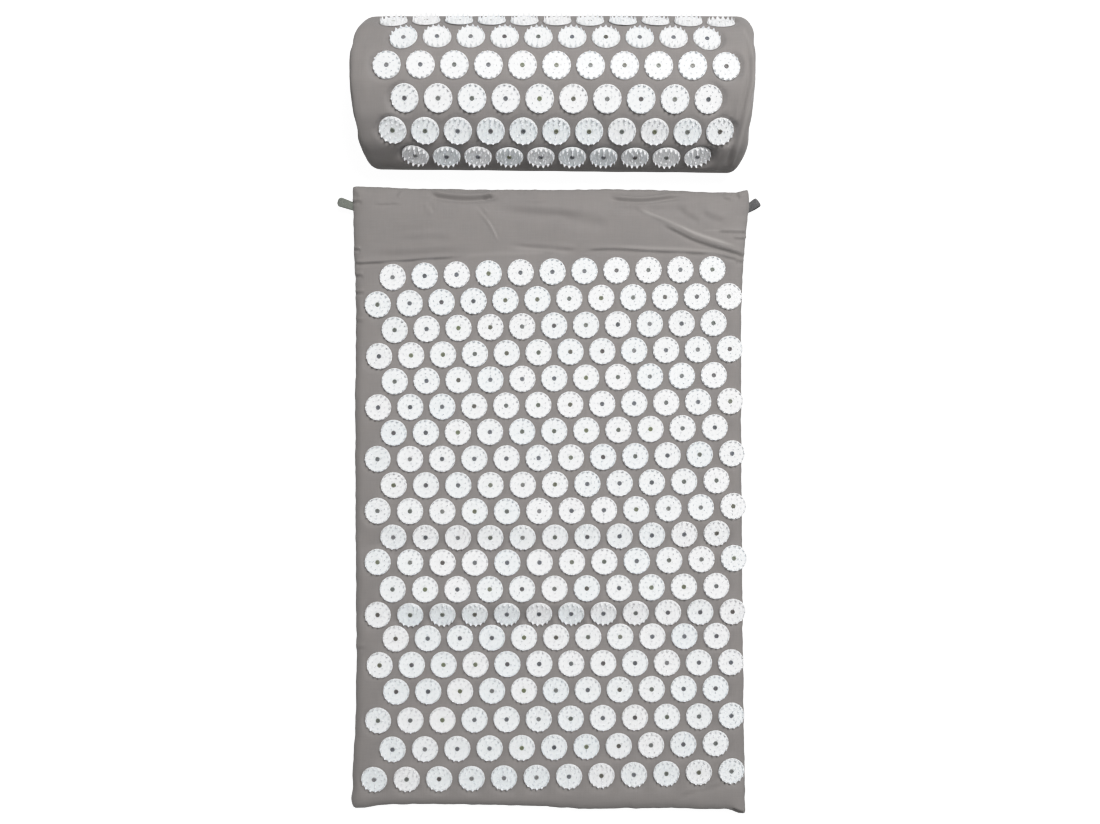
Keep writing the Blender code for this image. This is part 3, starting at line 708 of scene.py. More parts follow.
def ribbonLoop(loop):
    # Sweeps the ribbon's rounded cross section round the loop's side view
    half, thick = ribbon["width"] / 2, ribbon["thickness"] / 2
    profile = [(w * half, thick * max(math.sqrt(max(0.0, 1 - abs(w) ** 8)), 0.25))
               for w in np.linspace(-1, 1, ribbon["across"])]
    section = np.array(profile + [(w, -h) for w, h in reversed(profile)])
    w, h = section.T
    stations = np.arange(len(ribbon["out"]))
    at = np.linspace(0, len(stations) - 1, ribbon["steps"] + 1)
    out = curveThrough(stations, ribbon["out"], at) * loop["scale"]
    up = curveThrough(stations, ribbon["up"], at)
    run = np.concatenate([[0], np.cumsum(np.hypot(np.diff(out), np.diff(up)))])
    slopeOut, slopeUp = np.gradient(out), np.gradient(up)
    length = np.hypot(slopeOut, slopeUp)
    skew = math.radians(loop["skew"])
    points, places = [], []
    for step in range(len(at)):
        share = max(0.0, out[step] / out.max())
        twist = math.radians(loop["twist"]) * share
        reach = out[step] - slopeUp[step] / length[step] * h
        reach -= loop["roundTip"] * share**3 * (abs(w) / half) ** 3
        lift = up[step] + slopeOut[step] / length[step] * h
        across = w * (ribbon["seamWidth"] + (1 - ribbon["seamWidth"]) * min(1, share * 2))
        turnedAcross = across * math.cos(twist) - lift * math.sin(twist)
        turnedLift = across * math.sin(twist) + lift * math.cos(twist)
        x = reach * math.cos(skew) - turnedAcross * math.sin(skew)
        y = reach * math.sin(skew) + turnedAcross * math.cos(skew)
        points.append(np.stack([loop["side"] * (loop["root"][0] + x), loop["root"][1] + y,
                                ribbon["rootHeight"] + turnedLift], 1))
        places.append(np.stack([np.full(len(w), run[step]), w], 1))
    count = len(section)
    faces = tubeFaces(len(at), count)
    faces += [list(range(count))[::-1], list(range((len(at) - 1) * count, len(at) * count))]
    piece = meshPiece(loop["name"], np.concatenate(points), faces)
    setWeave(piece.data, np.concatenate(places))
    faceOutwards(piece)
    return piece


leftLoop, rightLoop = [ribbonLoop(loop) for loop in loops]

print("Building the pillow's cover")
pillowShape = {
    "middleX": 0.0028,
    "nearY": 0.3491,
    "halfLength": 0.2063,
    "endRound": 0.012,
    "endDraw": 0.13,           # how much of the section is drawn in at the rim of the end panel
    "endBulge": 0.002,
    # How far the ends lie back from their full reach, from the near foot over the top to the far
    "backStations": (0, 0.10, 0.22, 0.36, 0.5, 0.64, 0.76, 0.88, 1),
    "backLeft": (0.0140, 0.0110, 0.0054, 0.0023, 0.0002, 0.0006, 0.0062, 0.0138, 0.0140),
    "backRight": (0.0110, 0.0092, 0.0040, 0.0027, 0.0005, -0.0006, -0.0004, 0.0062, 0.0105),
    # The section's flats carry the rows of discs, from the mat's side to the far side
    "flat": 0.0333,
    "flatTilts": (64, 38, 16, -4, -30, -53),
    "firstFlatHeight": 0.0388,
    "wallTilt": 80,
    "nearRadius": 0.024,
    "farRadius": 0.022,
    "soften": 0.0050,          # how far the corners between the flats are rounded
    "focusHeight": 0.040,      # the point round which the ends draw in
    "nearSkew": 0.010,         # the near side comes forward towards the right
    "aroundCount": 96,
    "alongPitch": 0.0047,
    "endSteps": 6,
    "panelRings": (0.86, 0.70, 0.52, 0.34, 0.16),      # of the flat end panel, rim to middle
    "seamRing": 7,             # rings from the end panel's middle to its seam
    "seamGroove": 0.0009,
    "unevenness": 0.0006,
    "bending": 0.5,
    "furthest": 0.0035,        # how far the cloth may swell
    "clothHeight": 0.012,      # how far from a disc's level cloth still belongs to it
    "weaveMiddle": (0.08, 0.03),       # the weave turns round this point of the section
    "weaveRadius": 0.075,
}
pillowOpening = {"y": 0.4607, "middleX": 0.0028, "halfLength": 0.142, "halfWidth": 0.0012,
                 "depth": 0.0014}

pillowField = {
    # Rows from the mat's side: count, first and last disc's place in photo pixels, lean of the disc
    "rows": (
        {"count": 10, "first": 415, "last": 698, "lean": 63},
        {"count": 11, "first": 392, "last": 720.5, "lean": 37},
        {"count": 10, "first": 404, "last": 709, "lean": 16},
        {"count": 11, "first": 386, "last": 727, "lean": -3},
        {"count": 10, "first": 403, "last": 707.5, "lean": -28},
        {"count": 11, "first": 393.5, "last": 721, "lean": -57, "slide": -0.0022, "sink": 0.0009,
         "endLean": 1},
    ),
    "skew": 0.0045,
    "endLean": 9,
    "endSink": 0.0014,
    "level": 0.0007,           # how deep the discs lie under the section's flats
    "loose": 2.0,
    "seed": 9,
}

# Written as the mat's folds and painted ridge highlights are
pillowFolds = (
    # Soft folds at the right end, down over the near side
    (1.9, 2.2, 2.2, 0.25, 0.05, (740, 23), (748, 40), (751, 60), (751, 80), (746, 100), (741, 125),
     (735, 148), (728, 167)),
    (1.0, 1.2, 4.0, 0.4, 0.1, (738, 84), (737, 104), (732, 128), (722, 152), (710, 170)),
    (0.8, 0.9, 4.0, 0.4, 0.1, (727, 120), (722, 145), (708, 170)),
    # A soft fold at the left end
    (0.5, 0.5, 5.0, 0.25, 0.25, (366, 38), (361, 70), (363, 100)),
)

# Painted highlight along the pillow's fold ridges: half width in pixels, share of highlight, and the
# line's points
pillowPaintedHighlights = (
    (1.8, 0.35, (753, 62), (753.5, 84), (750, 104), (745, 122), (739, 143), (732, 163)),
    (1.2, 0.3, (741, 24), (749, 42), (752, 60)),
)


def arcPoints(centreY, radius, startDegrees, endDegrees, steps):
    # An arc that stands on the floor
    angles = np.radians(np.linspace(startDegrees, endDegrees, steps + 1))
    return np.stack([centreY + radius * np.cos(angles), radius + radius * np.sin(angles)], 1)


def pillowFlats():
    # Ends of the flats, measured from the near edge
    shape = pillowShape
    wall = shape["wallTilt"]
    arcEnd = arcPoints(shape["nearRadius"], shape["nearRadius"], 90 + wall, 90 + wall, 1)[0]
    y = arcEnd[0] + (shape["firstFlatHeight"] - arcEnd[1]) / math.tan(math.radians(wall))
    ends = [(y, shape["firstFlatHeight"])]
    for tilt in np.radians(shape["flatTilts"]):
        y += shape["flat"] * math.cos(tilt)
        ends.append((y, ends[-1][1] + shape["flat"] * math.sin(tilt)))
    return np.array(ends)


def pillowSection():
    # Points round the section from the near foot over the top to the far foot and back below
    shape = pillowShape
    wall, nearRadius, farRadius = shape["wallTilt"], shape["nearRadius"], shape["farRadius"]
    ends = pillowFlats()
    near = arcPoints(nearRadius, nearRadius, 270, 90 + wall, 6)
    arcStart = arcPoints(0, farRadius, 90 - wall, 90 - wall, 1)[0]
    drop = ends[-1][1] - arcStart[1]
    farMiddle = ends[-1][0] + drop / math.tan(math.radians(wall)) - arcStart[0]
    far = arcPoints(farMiddle, farRadius, 90 - wall, -90, 6)
    outline = np.concatenate([near, ends, far])
    closed = np.concatenate([outline, outline[:1]])
    run = np.concatenate([[0], np.cumsum(np.hypot(*(closed[1:] - closed[:-1]).T))])
    fineCount = 960
    fineAt = np.linspace(0, run[-1], fineCount + 1)[:-1]
    spread = shape["soften"] / (run[-1] / fineCount)
    reach = int(3 * spread)
    kernel = np.exp(-0.5 * (np.arange(-reach, reach + 1) / spread) ** 2)
    kernel /= kernel.sum()
    at = np.linspace(0, run[-1], shape["aroundCount"] + 1)[:-1]
    section = []
    for values in closed.T:
        fine = np.interp(fineAt, run, values)
        soft = np.convolve(np.concatenate([fine[-reach:], fine, fine[:reach]]), kernel, "valid")
        section.append(np.interp(at, fineAt, soft))
    y, z = section[0] + shape["nearY"], section[1]
    topRun = run[len(outline) - 1]
    under = at > topRun
    z = np.where(under | (z < 0.0006), 0.0, z)
    share = np.where(under, 1 - (at - topRun) / (run[-1] - topRun), at / topRun)
    return y, z, share, under


def pillowNet():
    shape = pillowShape
    sectionY, sectionZ, share, under = pillowSection()
    middleY = (sectionY.min() + sectionY.max()) / 2
    near = smoothStep(-(sectionY - middleY), 0.0, 0.07)
    rim = 1 - shape["endDraw"]

    def reachAlong(back):
        # The base panel's end runs straight from one foot to the other
        return shape["halfLength"] - np.where(under, back[-1] * share + back[0] * (1 - share),
                                              curveThrough(shape["backStations"], back, share))

    def endRings(reach):
        ends = []
        for angle in np.linspace(0, math.pi / 2, shape["endSteps"] + 1)[1:]:
            scale = 1 - shape["endDraw"] * (1 - math.cos(angle))
            ends.append((reach - shape["endRound"] * (1 - math.sin(angle)), scale))
        for panelShare in shape["panelRings"]:
            inward = reach * panelShare + reach.mean() * (1 - panelShare)
            ends.append((inward + shape["endBulge"] * (1 - panelShare), rim * panelShare))
        return ends

    left, right = reachAlong(shape["backLeft"]), reachAlong(shape["backRight"])
    rings = [(-x, scale) for x, scale in endRings(left)[::-1]]
    for step in np.linspace(0, 1, round(2 * shape["halfLength"] / shape["alongPitch"]) + 1):
        rings.append(((right - shape["endRound"]) * step
                      - (left - shape["endRound"]) * (1 - step), 1.0))
    rings += endRings(right)
    points = []
    focus = shape["focusHeight"]
    for x, scale in rings:
        # The ends draw in round a point above the floor, and the underside stays on it
        y = middleY + (sectionY - middleY) * scale - x * shape["nearSkew"] * near
        lowest = focus * (1 - min(1, scale / rim))
        z = np.where(sectionZ < focus, lowest + (focus - lowest) * sectionZ / focus,
                     focus + (sectionZ - focus) * scale)
        points.append(np.stack([x + shape["middleX"], y, z], 1))
    return np.array(points)


def pillowDiscPlaces():
    field = pillowField
    chance = random.Random(field["seed"])
    flatEnds = pillowFlats()
    places = []
    for row, (rowY, rowZ) in zip(field["rows"], (flatEnds[:-1] + flatEnds[1:]) / 2):
        firstX = fromPhoto(row["first"], 0, rowZ + 0.002)[0]
        lastX = fromPhoto(row["last"], 0, rowZ + 0.002)[0]
        for step in np.linspace(0, 1, row["count"]):
            discX = firstX + (lastX - firstX) * step
            atEnd = float(smoothStep(abs(2 * step - 1), 0.88, 1.0)) * math.copysign(1, step - 0.5)
            lean = math.radians(row["lean"] + chance.uniform(-1, 1) * field["loose"])
            outward = math.radians(row.get("endLean", field["endLean"]) * atEnd
                                   + chance.uniform(-1, 1) * field["loose"])
            normal = (Matrix.Rotation(lean, 3, "X") @ Matrix.Rotation(outward, 3, "Y")
                      @ Vector((0, 0, 1)))
            centre = Vector((discX, rowY + pillowShape["nearY"] - field["skew"] * discX, rowZ))
            centre += Vector((0, math.cos(lean), math.sin(lean))) * row.get("slide", 0)
            centre -= normal * (field["endSink"] * abs(atEnd) + field["level"])
            places.append({"centre": tuple(centre), "normal": tuple(normal),
                           "sink": row.get("sink", 0)})
    return places


def holdRoundDiscs(points, places, reach):
    # As on the mat, along each disc's own normal
    held = np.zeros(len(points), bool)
    flat = points.copy()
    for place in places:
        centre, normal = np.array(place["centre"]), np.array(place["normal"])
        offset = points - centre
        depth = offset @ normal
        inPlane = np.linalg.norm(offset - depth[:, None] * normal, axis=1)
        near = (inPlane < reach) & (abs(depth) < pillowShape["clothHeight"])
        flat[near] = points[near] - (depth[near] + disc["sink"])[:, None] * normal
        held |= near
    return flat, held


ringPoints = pillowNet()
ringCount, aroundCount = ringPoints.shape[:2]
poles = [ring.mean(0) + (math.copysign(0.0005, ring[0, 0]), 0, 0)
         for ring in (ringPoints[0], ringPoints[-1])]
pillowPlaces = pillowDiscPlaces()
pillowPoints, heldPillow = holdRoundDiscs(np.concatenate([ringPoints.reshape(-1, 3), poles]),
                                          pillowPlaces, disc["radius"] + disc["pillowRim"])
faces = tubeFaces(ringCount, aroundCount)
firstPole, lastRing = ringCount * aroundCount, (ringCount - 1) * aroundCount
for index in range(aroundCount):
    following = (index + 1) % aroundCount
    faces.append((following, index, firstPole))
    faces.append((lastRing + index, lastRing + following, firstPole + 1))
pillowCover = meshPiece("pillowCover", pillowPoints, faces)
faceOutwards(pillowCover)

# The end panels are sewn to the top panel a little inside the outline
seamRing = np.zeros((ringCount, aroundCount))
seamRing[[pillowShape["seamRing"], -1 - pillowShape["seamRing"]]] = 1
setAttribute(pillowCover.data, "seam", np.concatenate([seamRing.ravel(), (0, 0)]))

print("Swelling the pillow's cover")
relaxCloth(pillowCover, heldPillow | (pillowPoints[:, 2] < 0.002), pillowShape["bending"],
           pillowShape["furthest"])
refine(pillowCover)

print("Folding the pillow's cover")
points = readArray(pillowCover.data.vertices, "co", 3)
normals = readArray(pillowCover.data.vertex_normals, "vector", 3)
onSeam = readArray(pillowCover.data.attributes["seam"].data, "value") > 0.9
px, py = toPhoto(points)
free = clearOfDiscs(points, pillowPlaces, 3)
lift = foldHeights(px, py, pillowFolds) * smoothStep(normals[:, 2], -0.05, 0.25) * free
offFloor = smoothStep(points[:, 2], 0.002, 0.02)
lift += noiseAt(points, 30, 8) * pillowShape["unevenness"] * free * offFloor
lift -= pillowShape["seamGroove"] * onSeam
points += normals * lift[:, None]
keepClear(points, pillowPlaces)
points[:, 2] = np.maximum(points[:, 2], 0.0)
setPoints(pillowCover.data, points)
# Painted highlight along the pillow's fold ridges, on the upward faces only
setAttribute(pillowCover.data, "paintedHighlight", paintedHighlightAlong(px, py, pillowPaintedHighlights) * (normals[:, 2] > 0.1))
cutOpening(pillowCover, pillowOpening)
x, y, z = readArray(pillowCover.data.vertices, "co", 3).T
weaveY, weaveZ = pillowShape["weaveMiddle"]
turned = np.arctan2(z - weaveZ, y - pillowShape["nearY"] - weaveY)
setWeave(pillowCover.data, np.stack([x, turned * pillowShape["weaveRadius"]], 1))


# Geometry Nodes helper: a tree with named inputs, and nodes added in one call

class Layout:
    def __init__(self, name, inputs):
        self.tree = bpy.data.node_groups.new(name, "GeometryNodeTree")
        face = self.tree.interface
        face.new_socket("Geometry", in_out="INPUT", socket_type="NodeSocketGeometry")
        kinds = {int: "NodeSocketInt", float: "NodeSocketFloat",
                 bpy.types.Material: "NodeSocketMaterial"}
        for label, value in inputs.items():
            socket = face.new_socket(label, in_out="INPUT", socket_type=kinds[type(value)])
            socket.default_value = value
        face.new_socket("Geometry", in_out="OUTPUT", socket_type="NodeSocketGeometry")
        self.start = self.tree.nodes.new("NodeGroupInput")
        self.end = self.tree.nodes.new("NodeGroupOutput")

    def given(self, *labels):
        return [self.start.outputs[label] for label in labels]

    def add(self, kind, settings=None, inputs=None, output=0):
        if not kind.startswith(("Function", "Shader")):
            kind = "GeometryNode" + kind
        node = self.tree.nodes.new(kind)
        for key, value in (settings or {}).items():
            setattr(node, key, value)
        for key, value in (inputs or {}).items():
            for item in value if isinstance(value, list) else [value]:
                if isinstance(item, bpy.types.NodeSocket):
                    self.tree.links.new(item, node.inputs[key])
                else:
                    node.inputs[key].default_value = item
        return node.outputs[output]

    def sum(self, operation, first, second):
        return self.add("ShaderNodeMath", {"operation": operation}, {0: first, 1: second})

    def vector(self, **parts):
        return self.add("ShaderNodeCombineXYZ", {}, parts)

    def chance(self, low, high, seed):
        return self.add("FunctionNodeRandomValue", {"data_type": "FLOAT"},
                        {2: low, 3: high, "Seed": seed}, 1)

    def raised(self, geometry, height):
        place = self.vector(Z=height)
        return self.add("Transform", {}, {"Geometry": geometry, "Translation": place})

    def cone(self, sides, bottom, top, height):
        return self.add("MeshCone", {"fill_type": "NONE"}, {
            "Vertices": sides, "Radius Top": top, "Radius Bottom": bottom, "Depth": height})

    def circle(self, sides, radius, fill="NGON"):
        return self.add("MeshCircle", {"fill_type": fill}, {"Vertices": sides, "Radius": radius})

    def flipped(self, mesh):
        return self.add("FlipFaces", {}, {"Mesh": mesh})

    def joined(self, *parts, weld=None):
        whole = self.add("JoinGeometry", {}, {"Geometry": list(parts)})
        return whole if weld is None else self.add(
            "MergeByDistance", {}, {"Geometry": whole, "Distance": weld})

    def spread(self, whole):
        # Sets the whole shape on every point, turned as the point says and spun by chance
        points, seed = self.given("Geometry", "Seed")
        turn = self.add("InputNamedAttribute", {"data_type": "FLOAT_VECTOR"}, {"Name": "turn"})
        turn = self.add("FunctionNodeEulerToRotation", {}, {"Euler": turn})
        copies = self.add("InstanceOnPoints", {}, {"Points": points, "Instance": whole,
                                                   "Rotation": turn})
        spin = self.vector(Z=self.chance(0.0, 2 * math.pi, seed))
        spin = self.add("FunctionNodeEulerToRotation", {}, {"Euler": spin})
        copies = self.add("RotateInstances", {}, {"Instances": copies, "Rotation": spin})
        tint = self.chance(0.0, 1.0, self.sum("ADD", seed, 1))
        return self.add("StoreNamedAttribute", {"data_type": "FLOAT", "domain": "INSTANCE"},
                        {"Geometry": copies, "Name": "tint", "Value": tint})

    def finish(self, geometry):
        solid = self.add("RealizeInstances", {}, {"Geometry": geometry})
        painted = self.add("SetMaterial", {}, {"Geometry": solid,
                                               "Material": self.given("Material")[0]})
        self.tree.links.new(painted, self.end.inputs[0])
        return self.tree


# Rings of spikes: how many, and their scale outwards from the disc's middle, along its rim and
# upwards. The outer ring's are thin outwards and broad along the rim
spikeRings = {
    "Outer Ring": (15, (0.48, 1.5, 1)),
    "Middle Ring": (9, (0.3, 0.7, 0.75)),
    "Inner Ring": (3, (0.3, 0.7, 0.75)),
}


def discLayout(values):
    layout = Layout("spikedDiscs", values)
    radius, thickness, edge, sides = layout.given("Radius", "Thickness", "Edge", "Sides")
    wallHeight = layout.sum("SUBTRACT", thickness, edge)
    topRadius = layout.sum("SUBTRACT", radius, edge)
    wall = layout.add("MeshCylinder", {"fill_type": "NONE"},
                      {"Vertices": sides, "Radius": radius, "Depth": wallHeight})
    plate = layout.joined(layout.raised(wall, layout.sum("MULTIPLY", wallHeight, 0.5)),
                          layout.raised(layout.cone(sides, radius, topRadius, edge), wallHeight),
                          layout.raised(layout.circle(sides, topRadius), thickness),
                          layout.flipped(layout.circle(sides, radius)), weld=0.00001)
    bend = layout.sum("GREATER_THAN", layout.add("InputMeshEdgeAngle"), disc["sharpFrom"])
    plate = layout.add("SetShadeSmooth", {"domain": "EDGE"},
                       {0: plate, "Selection": bend, "Shade Smooth": False})

    # One spike: a slender cone whose upper part is blunter
    height, foot = layout.given("Spike Height", "Spike Radius")
    narrowed, risen = disc["shoulder"]
    shoulder = layout.sum("MULTIPLY", foot, narrowed)
    trunkHeight = layout.sum("MULTIPLY", height, risen)
    tip = layout.cone(disc["spikeSides"], shoulder, 0.0,
                      layout.sum("MULTIPLY", height, 1 - risen))
    spike = layout.joined(layout.cone(disc["spikeSides"], foot, shoulder, trunkHeight),
                          layout.raised(tip, trunkHeight), weld=0.00001)
    facing = layout.add("FunctionNodeAlignRotationToVector", {"axis": "X", "pivot_axis": "Z"},
                        {"Vector": layout.add("InputPosition")})
    rings = [layout.add("InstanceOnPoints", {}, {
        "Points": layout.circle(count, layout.given(label)[0], "NONE"), "Instance": spike,
        "Rotation": facing, "Scale": shape}) for label, (count, shape) in spikeRings.items()]
    spikes = layout.add("RealizeInstances", {}, {"Geometry": layout.joined(*rings)})
    spikes = layout.raised(spikes, layout.sum("SUBTRACT", thickness, disc["spikeSink"]))
    return layout.finish(layout.spread(layout.joined(plate, spikes)))


def rivetLayout(values):
    # A hollow rivet's head
    layout = Layout("discRivets", values)
    head, high, hollow, deep, sides = layout.given(
        "Head Radius", "Head Height", "Hollow Radius", "Hollow Depth", "Sides")
    slope = layout.sum("MULTIPLY", head, rivet["topShare"])
    floorRadius = layout.sum("MULTIPLY", hollow, rivet["floorShare"])
    floorHeight = layout.sum("SUBTRACT", high, deep)
    whole = layout.joined(
        layout.cone(sides, head, slope, high),
        layout.raised(layout.flipped(layout.cone(sides, floorRadius, hollow, deep)), floorHeight),
        layout.raised(layout.circle(sides, floorRadius), floorHeight),
        layout.raised(layout.cone(sides, slope, hollow, 0.00002), high), weld=0.00003)
    return layout.finish(layout.spread(whole))


def stitchLayout(values):
    # Stitches one after another along the edges of a start mesh
    layout = Layout("stitches", values)
    start, length, gap, thread, seed = layout.given("Geometry", "Length", "Gap", "Thread", "Seed")
    line = layout.add("MeshToCurve", {}, {"Mesh": start})
    line = layout.add("ResampleCurve", {"mode": "LENGTH"},
                      {"Curve": line, "Length": layout.sum("ADD", length, gap)})
    along = layout.add("FunctionNodeAlignRotationToVector", {"axis": "X"},
                       {"Vector": layout.add("InputTangent")})
    stitch = layout.add("MeshUVSphere", {}, {"Segments": 6, "Rings": 5, "Radius": 1.0})
    stitch = layout.add("SetShadeSmooth", {}, {0: stitch})
    half = layout.sum("MULTIPLY", length, layout.chance(*seams["stitchHalf"], seed))
    size = layout.vector(X=half, Y=thread, Z=thread)
    return layout.finish(layout.add("InstanceOnPoints", {}, {
        "Points": line, "Instance": stitch, "Rotation": along, "Scale": size}))


seams = {
    "rows": (-0.0068, -0.0034, 0.0034, 0.0068),        # from the slit
    "beyond": 0.002,           # how far the rows run past the slit's ends
    "bars": (0.0016, 0.0026),  # from the rows' ends
    "barHalf": 0.0072,
    "height": 0.0001,
    "stitchHalf": (0.44, 0.52),        # half a stitch, as a share of the stitch length, by chance
}


def stitchLines(opening):
    # Two rows on each side of an opening and a bar across each end of it
    middle, y, reach = opening["middleX"], opening["y"], opening["halfLength"] + seams["beyond"]
    lines = [((middle - reach, y + away), (middle + reach, y + away)) for away in seams["rows"]]
    for end in (-1, 1):
        for step in seams["bars"]:
            x = middle + end * (reach + step)
            lines.append(((x, y - seams["barHalf"]), (x, y + seams["barHalf"])))
    points = [(*point, seams["height"]) for line in lines for point in line]
    mesh = bpy.data.meshes.new("stitchLines")
    mesh.from_pydata(points, [(index, index + 1) for index in range(0, len(points), 2)], [])
    return mesh


def discPoints(places, lift, deep=False):
    # One point for each disc, with the turn that lays it on its place
    mesh = bpy.data.meshes.new("discPoints")
    points, turns = [], []
    for place in places:
        normal = Vector(place["normal"])
        sink = place.get("sink", 0) if deep else 0
        points.append(Vector(place["centre"]) + normal * (lift - sink))
        turns += Vector((0, 0, 1)).rotation_difference(normal).to_euler()
    mesh.from_pydata(points, [], [])
    mesh.attributes.new("turn", "FLOAT_VECTOR", "POINT").data.foreach_set("vector", turns)
    return mesh


def bakeLayout(name, tree, start, values):
    # Runs a tree on a start mesh and keeps the result as a plain mesh
    piece = bpy.data.objects.new(name, start)
    scene.collection.objects.link(piece)
    modifier = piece.modifiers.new(name, "NODES")
    modifier.node_group = tree
    for socket in tree.interface.items_tree:
        if socket.in_out == "INPUT" and socket.name in values:
            modifier[socket.identifier] = values[socket.name]
    applyModifiers(piece)
    piece.data.name = name
    return piece


# Shader helper: a wire wraps a socket, and sums on wires add Math nodes

class Wire:
    def __init__(self, finish, socket):
        self.finish = finish
        self.socket = socket

    def __add__(self, other):
        return self.finish.math("ADD", self, other)

    def __sub__(self, other):
        return self.finish.math("SUBTRACT", self, other)

    def __rsub__(self, other):
        return self.finish.math("SUBTRACT", other, self)

    def __mul__(self, other):
        return self.finish.math("MULTIPLY", self, other)


class Finish:
    def __init__(self, name, constants):
        self.material = bpy.data.materials.new(name)
        self.material.use_nodes = True
        self.tree = self.material.node_tree
        self.shader = self.tree.nodes["Principled BSDF"]
        for label, value in constants.items():
            self.shader.inputs[label].default_value = value

    def node(self, kind, settings=None, inputs=None, output=0):
        made = self.tree.nodes.new("ShaderNode" + kind)
        for key, value in (settings or {}).items():
            setattr(made, key, value)
        for key, value in (inputs or {}).items():
            self.feed(made.inputs[key], value)
        return Wire(self, made.outputs[output])

    def feed(self, socket, value):
        if isinstance(value, Wire):
            self.tree.links.new(value.socket, socket)
        elif isinstance(value, tuple) and socket.type == "RGBA":
            socket.default_value = (*value, 1)
        else:
            socket.default_value = value

    def math(self, operation, first, second=0.0, clamp=False):
        return self.node("Math", {"operation": operation, "use_clamp": clamp},
                         {0: first, 1: second})

    def mix(self, share, first, second):
        return self.node("Mix", {"data_type": "RGBA"}, {0: share, 6: first, 7: second}, 2)

    def ramp(self, share, stops):
        made = self.node("ValToRGB", {}, {"Fac": share})
        elements = made.socket.node.color_ramp.elements
        while len(elements) < len(stops):
            elements.new(0.5)
        for element, (position, colour) in zip(elements, stops):
            element.position = position
            element.color = (*colour, 1)
        return made

    def scaled(self, vector, factors):
        return self.node("VectorMath", {"operation": "MULTIPLY"}, {0: vector, 1: factors})

    def noise(self, vector, scale, detail=2.0):
        return self.node("TexNoise", {"noise_dimensions": "3D"},
                         {"Vector": vector, "Scale": scale, "Detail": detail})

    def place(self):
        return self.node("TexCoord", {}, {}, 3)

    def weavePlace(self):
        return self.node("UVMap", {"uv_map": "weave"})

    def attribute(self, name):
        return self.node("Attribute", {"attribute_name": name}, {}, 2)

    def parts(self, vector):
        split = self.node("SeparateXYZ", {}, {"Vector": vector})
        return [Wire(self, output) for output in split.socket.node.outputs[:2]]

    def waves(self, along, pitch):
        # From -1 to 1, with one crest in each pitch
        return self.math("SINE", along * (2 * math.pi / pitch))

    def coat(self, colour, roughness, height=None, strength=0.0, distance=0.0):
        self.feed(self.shader.inputs["Base Color"], colour)
        self.feed(self.shader.inputs["Roughness"], roughness)
        if height is not None:
            relief = self.node("Bump", {}, {"Height": height, "Strength": strength,
                                            "Distance": distance})
            self.feed(self.shader.inputs["Normal"], relief)
        return self.material


fabric = {
    "light": (0.256, 0.240, 0.232),
    "dark": (0.181, 0.170, 0.164),
    "warm": (0.266, 0.240, 0.222),
    "paintedHighlight": (0.345, 0.325, 0.312),     # painted highlight along the crease ridges
    "threads": 2300,           # threads in a metre
    "slub": 0.7,               # shares of each pattern in the tone
    "cloud": 0.4,
    "weave": 0.2,
}


def fabricFinish():
    # Plain weave of uneven yarn: the crossing threads go over and under by turns
    finish = Finish("coverFabricMat", {"Specular IOR Level": 0.18, "Sheen Weight": 0.22,
                                       "Sheen Roughness": 0.45})
    place, room = finish.weavePlace(), finish.place()
    warp, weft = (finish.waves(along, 2 / fabric["threads"]) for along in finish.parts(place))
    cloth = warp * weft * 0.5 + 0.5
    slubAcross = finish.noise(finish.scaled(place, (40, 900, 1)), 1.0)
    slubAlong = finish.noise(finish.scaled(place, (900, 40, 1)), 1.0)
    slub = slubAcross * 0.5 + slubAlong * 0.5
    cloudy = finish.noise(room, 26.0, 3.0)
    tone = finish.math("ADD", (slub - 0.5) * fabric["slub"] + (cloudy - 0.5) * fabric["cloud"]
                       + (cloth - 0.5) * fabric["weave"], 0.5, True)
    colour = finish.mix(tone, fabric["dark"], fabric["light"])
    colour = finish.mix((finish.noise(room, 60.0) - 0.35) * 0.35, colour, fabric["warm"])
    # Painted highlight: the cloth is lighter along the crease ridges, where they catch the light
    colour = finish.mix(finish.attribute("paintedHighlight"), colour, fabric["paintedHighlight"])
    return finish.coat(colour, 0.97 - tone * 0.1, cloth * 0.5 + slub * 0.9, 0.5, 0.00018)


discColour = {
    "low": (0.85, 0.905, 0.99),
    "high": (0.94, 0.955, 0.985),
    "patch": (0.82, 0.89, 0.99),
}


def discFinish():
    finish = Finish("whiteDiscPlastic", {"Specular IOR Level": 0.4, "Subsurface Weight": 1.0,
                                         "Subsurface Radius": (1.0, 1.0, 1.0),
                                         "Subsurface Scale": 0.0018})
    room = finish.place()
    colour = finish.mix(finish.attribute("tint"), discColour["low"], discColour["high"])
    colour = finish.mix((finish.noise(room, 38.0) - 0.42) * 0.9, colour, discColour["patch"])
    return finish.coat(colour, finish.noise(room, 900.0) * 0.16 + 0.30,
                       finish.noise(room, 420.0, 3.0), 0.12, 0.0004)


# The rivets differ: grey, greenish and brownish ones, dealt out by chance
rivetColours = (
    (0.0, (0.10, 0.11, 0.12)), (0.2, (0.21, 0.22, 0.24)), (0.4, (0.15, 0.17, 0.13)),
    (0.55, (0.28, 0.28, 0.29)), (0.7, (0.20, 0.23, 0.12)), (0.85, (0.13, 0.115, 0.11)),
    (1.0, (0.17, 0.19, 0.22)),
)


def rivetFinish():
    finish = Finish("greyRivetPlastic", {"Specular IOR Level": 0.5})
    colour = finish.ramp(finish.attribute("tint"), rivetColours)
    speck = finish.noise(finish.place(), 1500.0)
    return finish.coat(finish.mix(speck * 0.6, colour, (0.07, 0.07, 0.075)), speck * 0.2 + 0.3,
                       speck, 0.2, 0.0002)


def threadFinish():
    # Two-ply sewing thread in the cover's grey
    finish = Finish("greyThread", {"Specular IOR Level": 0.3, "Sheen Weight": 0.1})
    twist = finish.noise(finish.scaled(finish.place(), (900, 2600, 900)), 1.0)
    return finish.coat(finish.mix(twist, (0.20, 0.19, 0.18), (0.46, 0.44, 0.43)),
                       twist * 0.2 + 0.6, twist, 0.5, 0.0001)


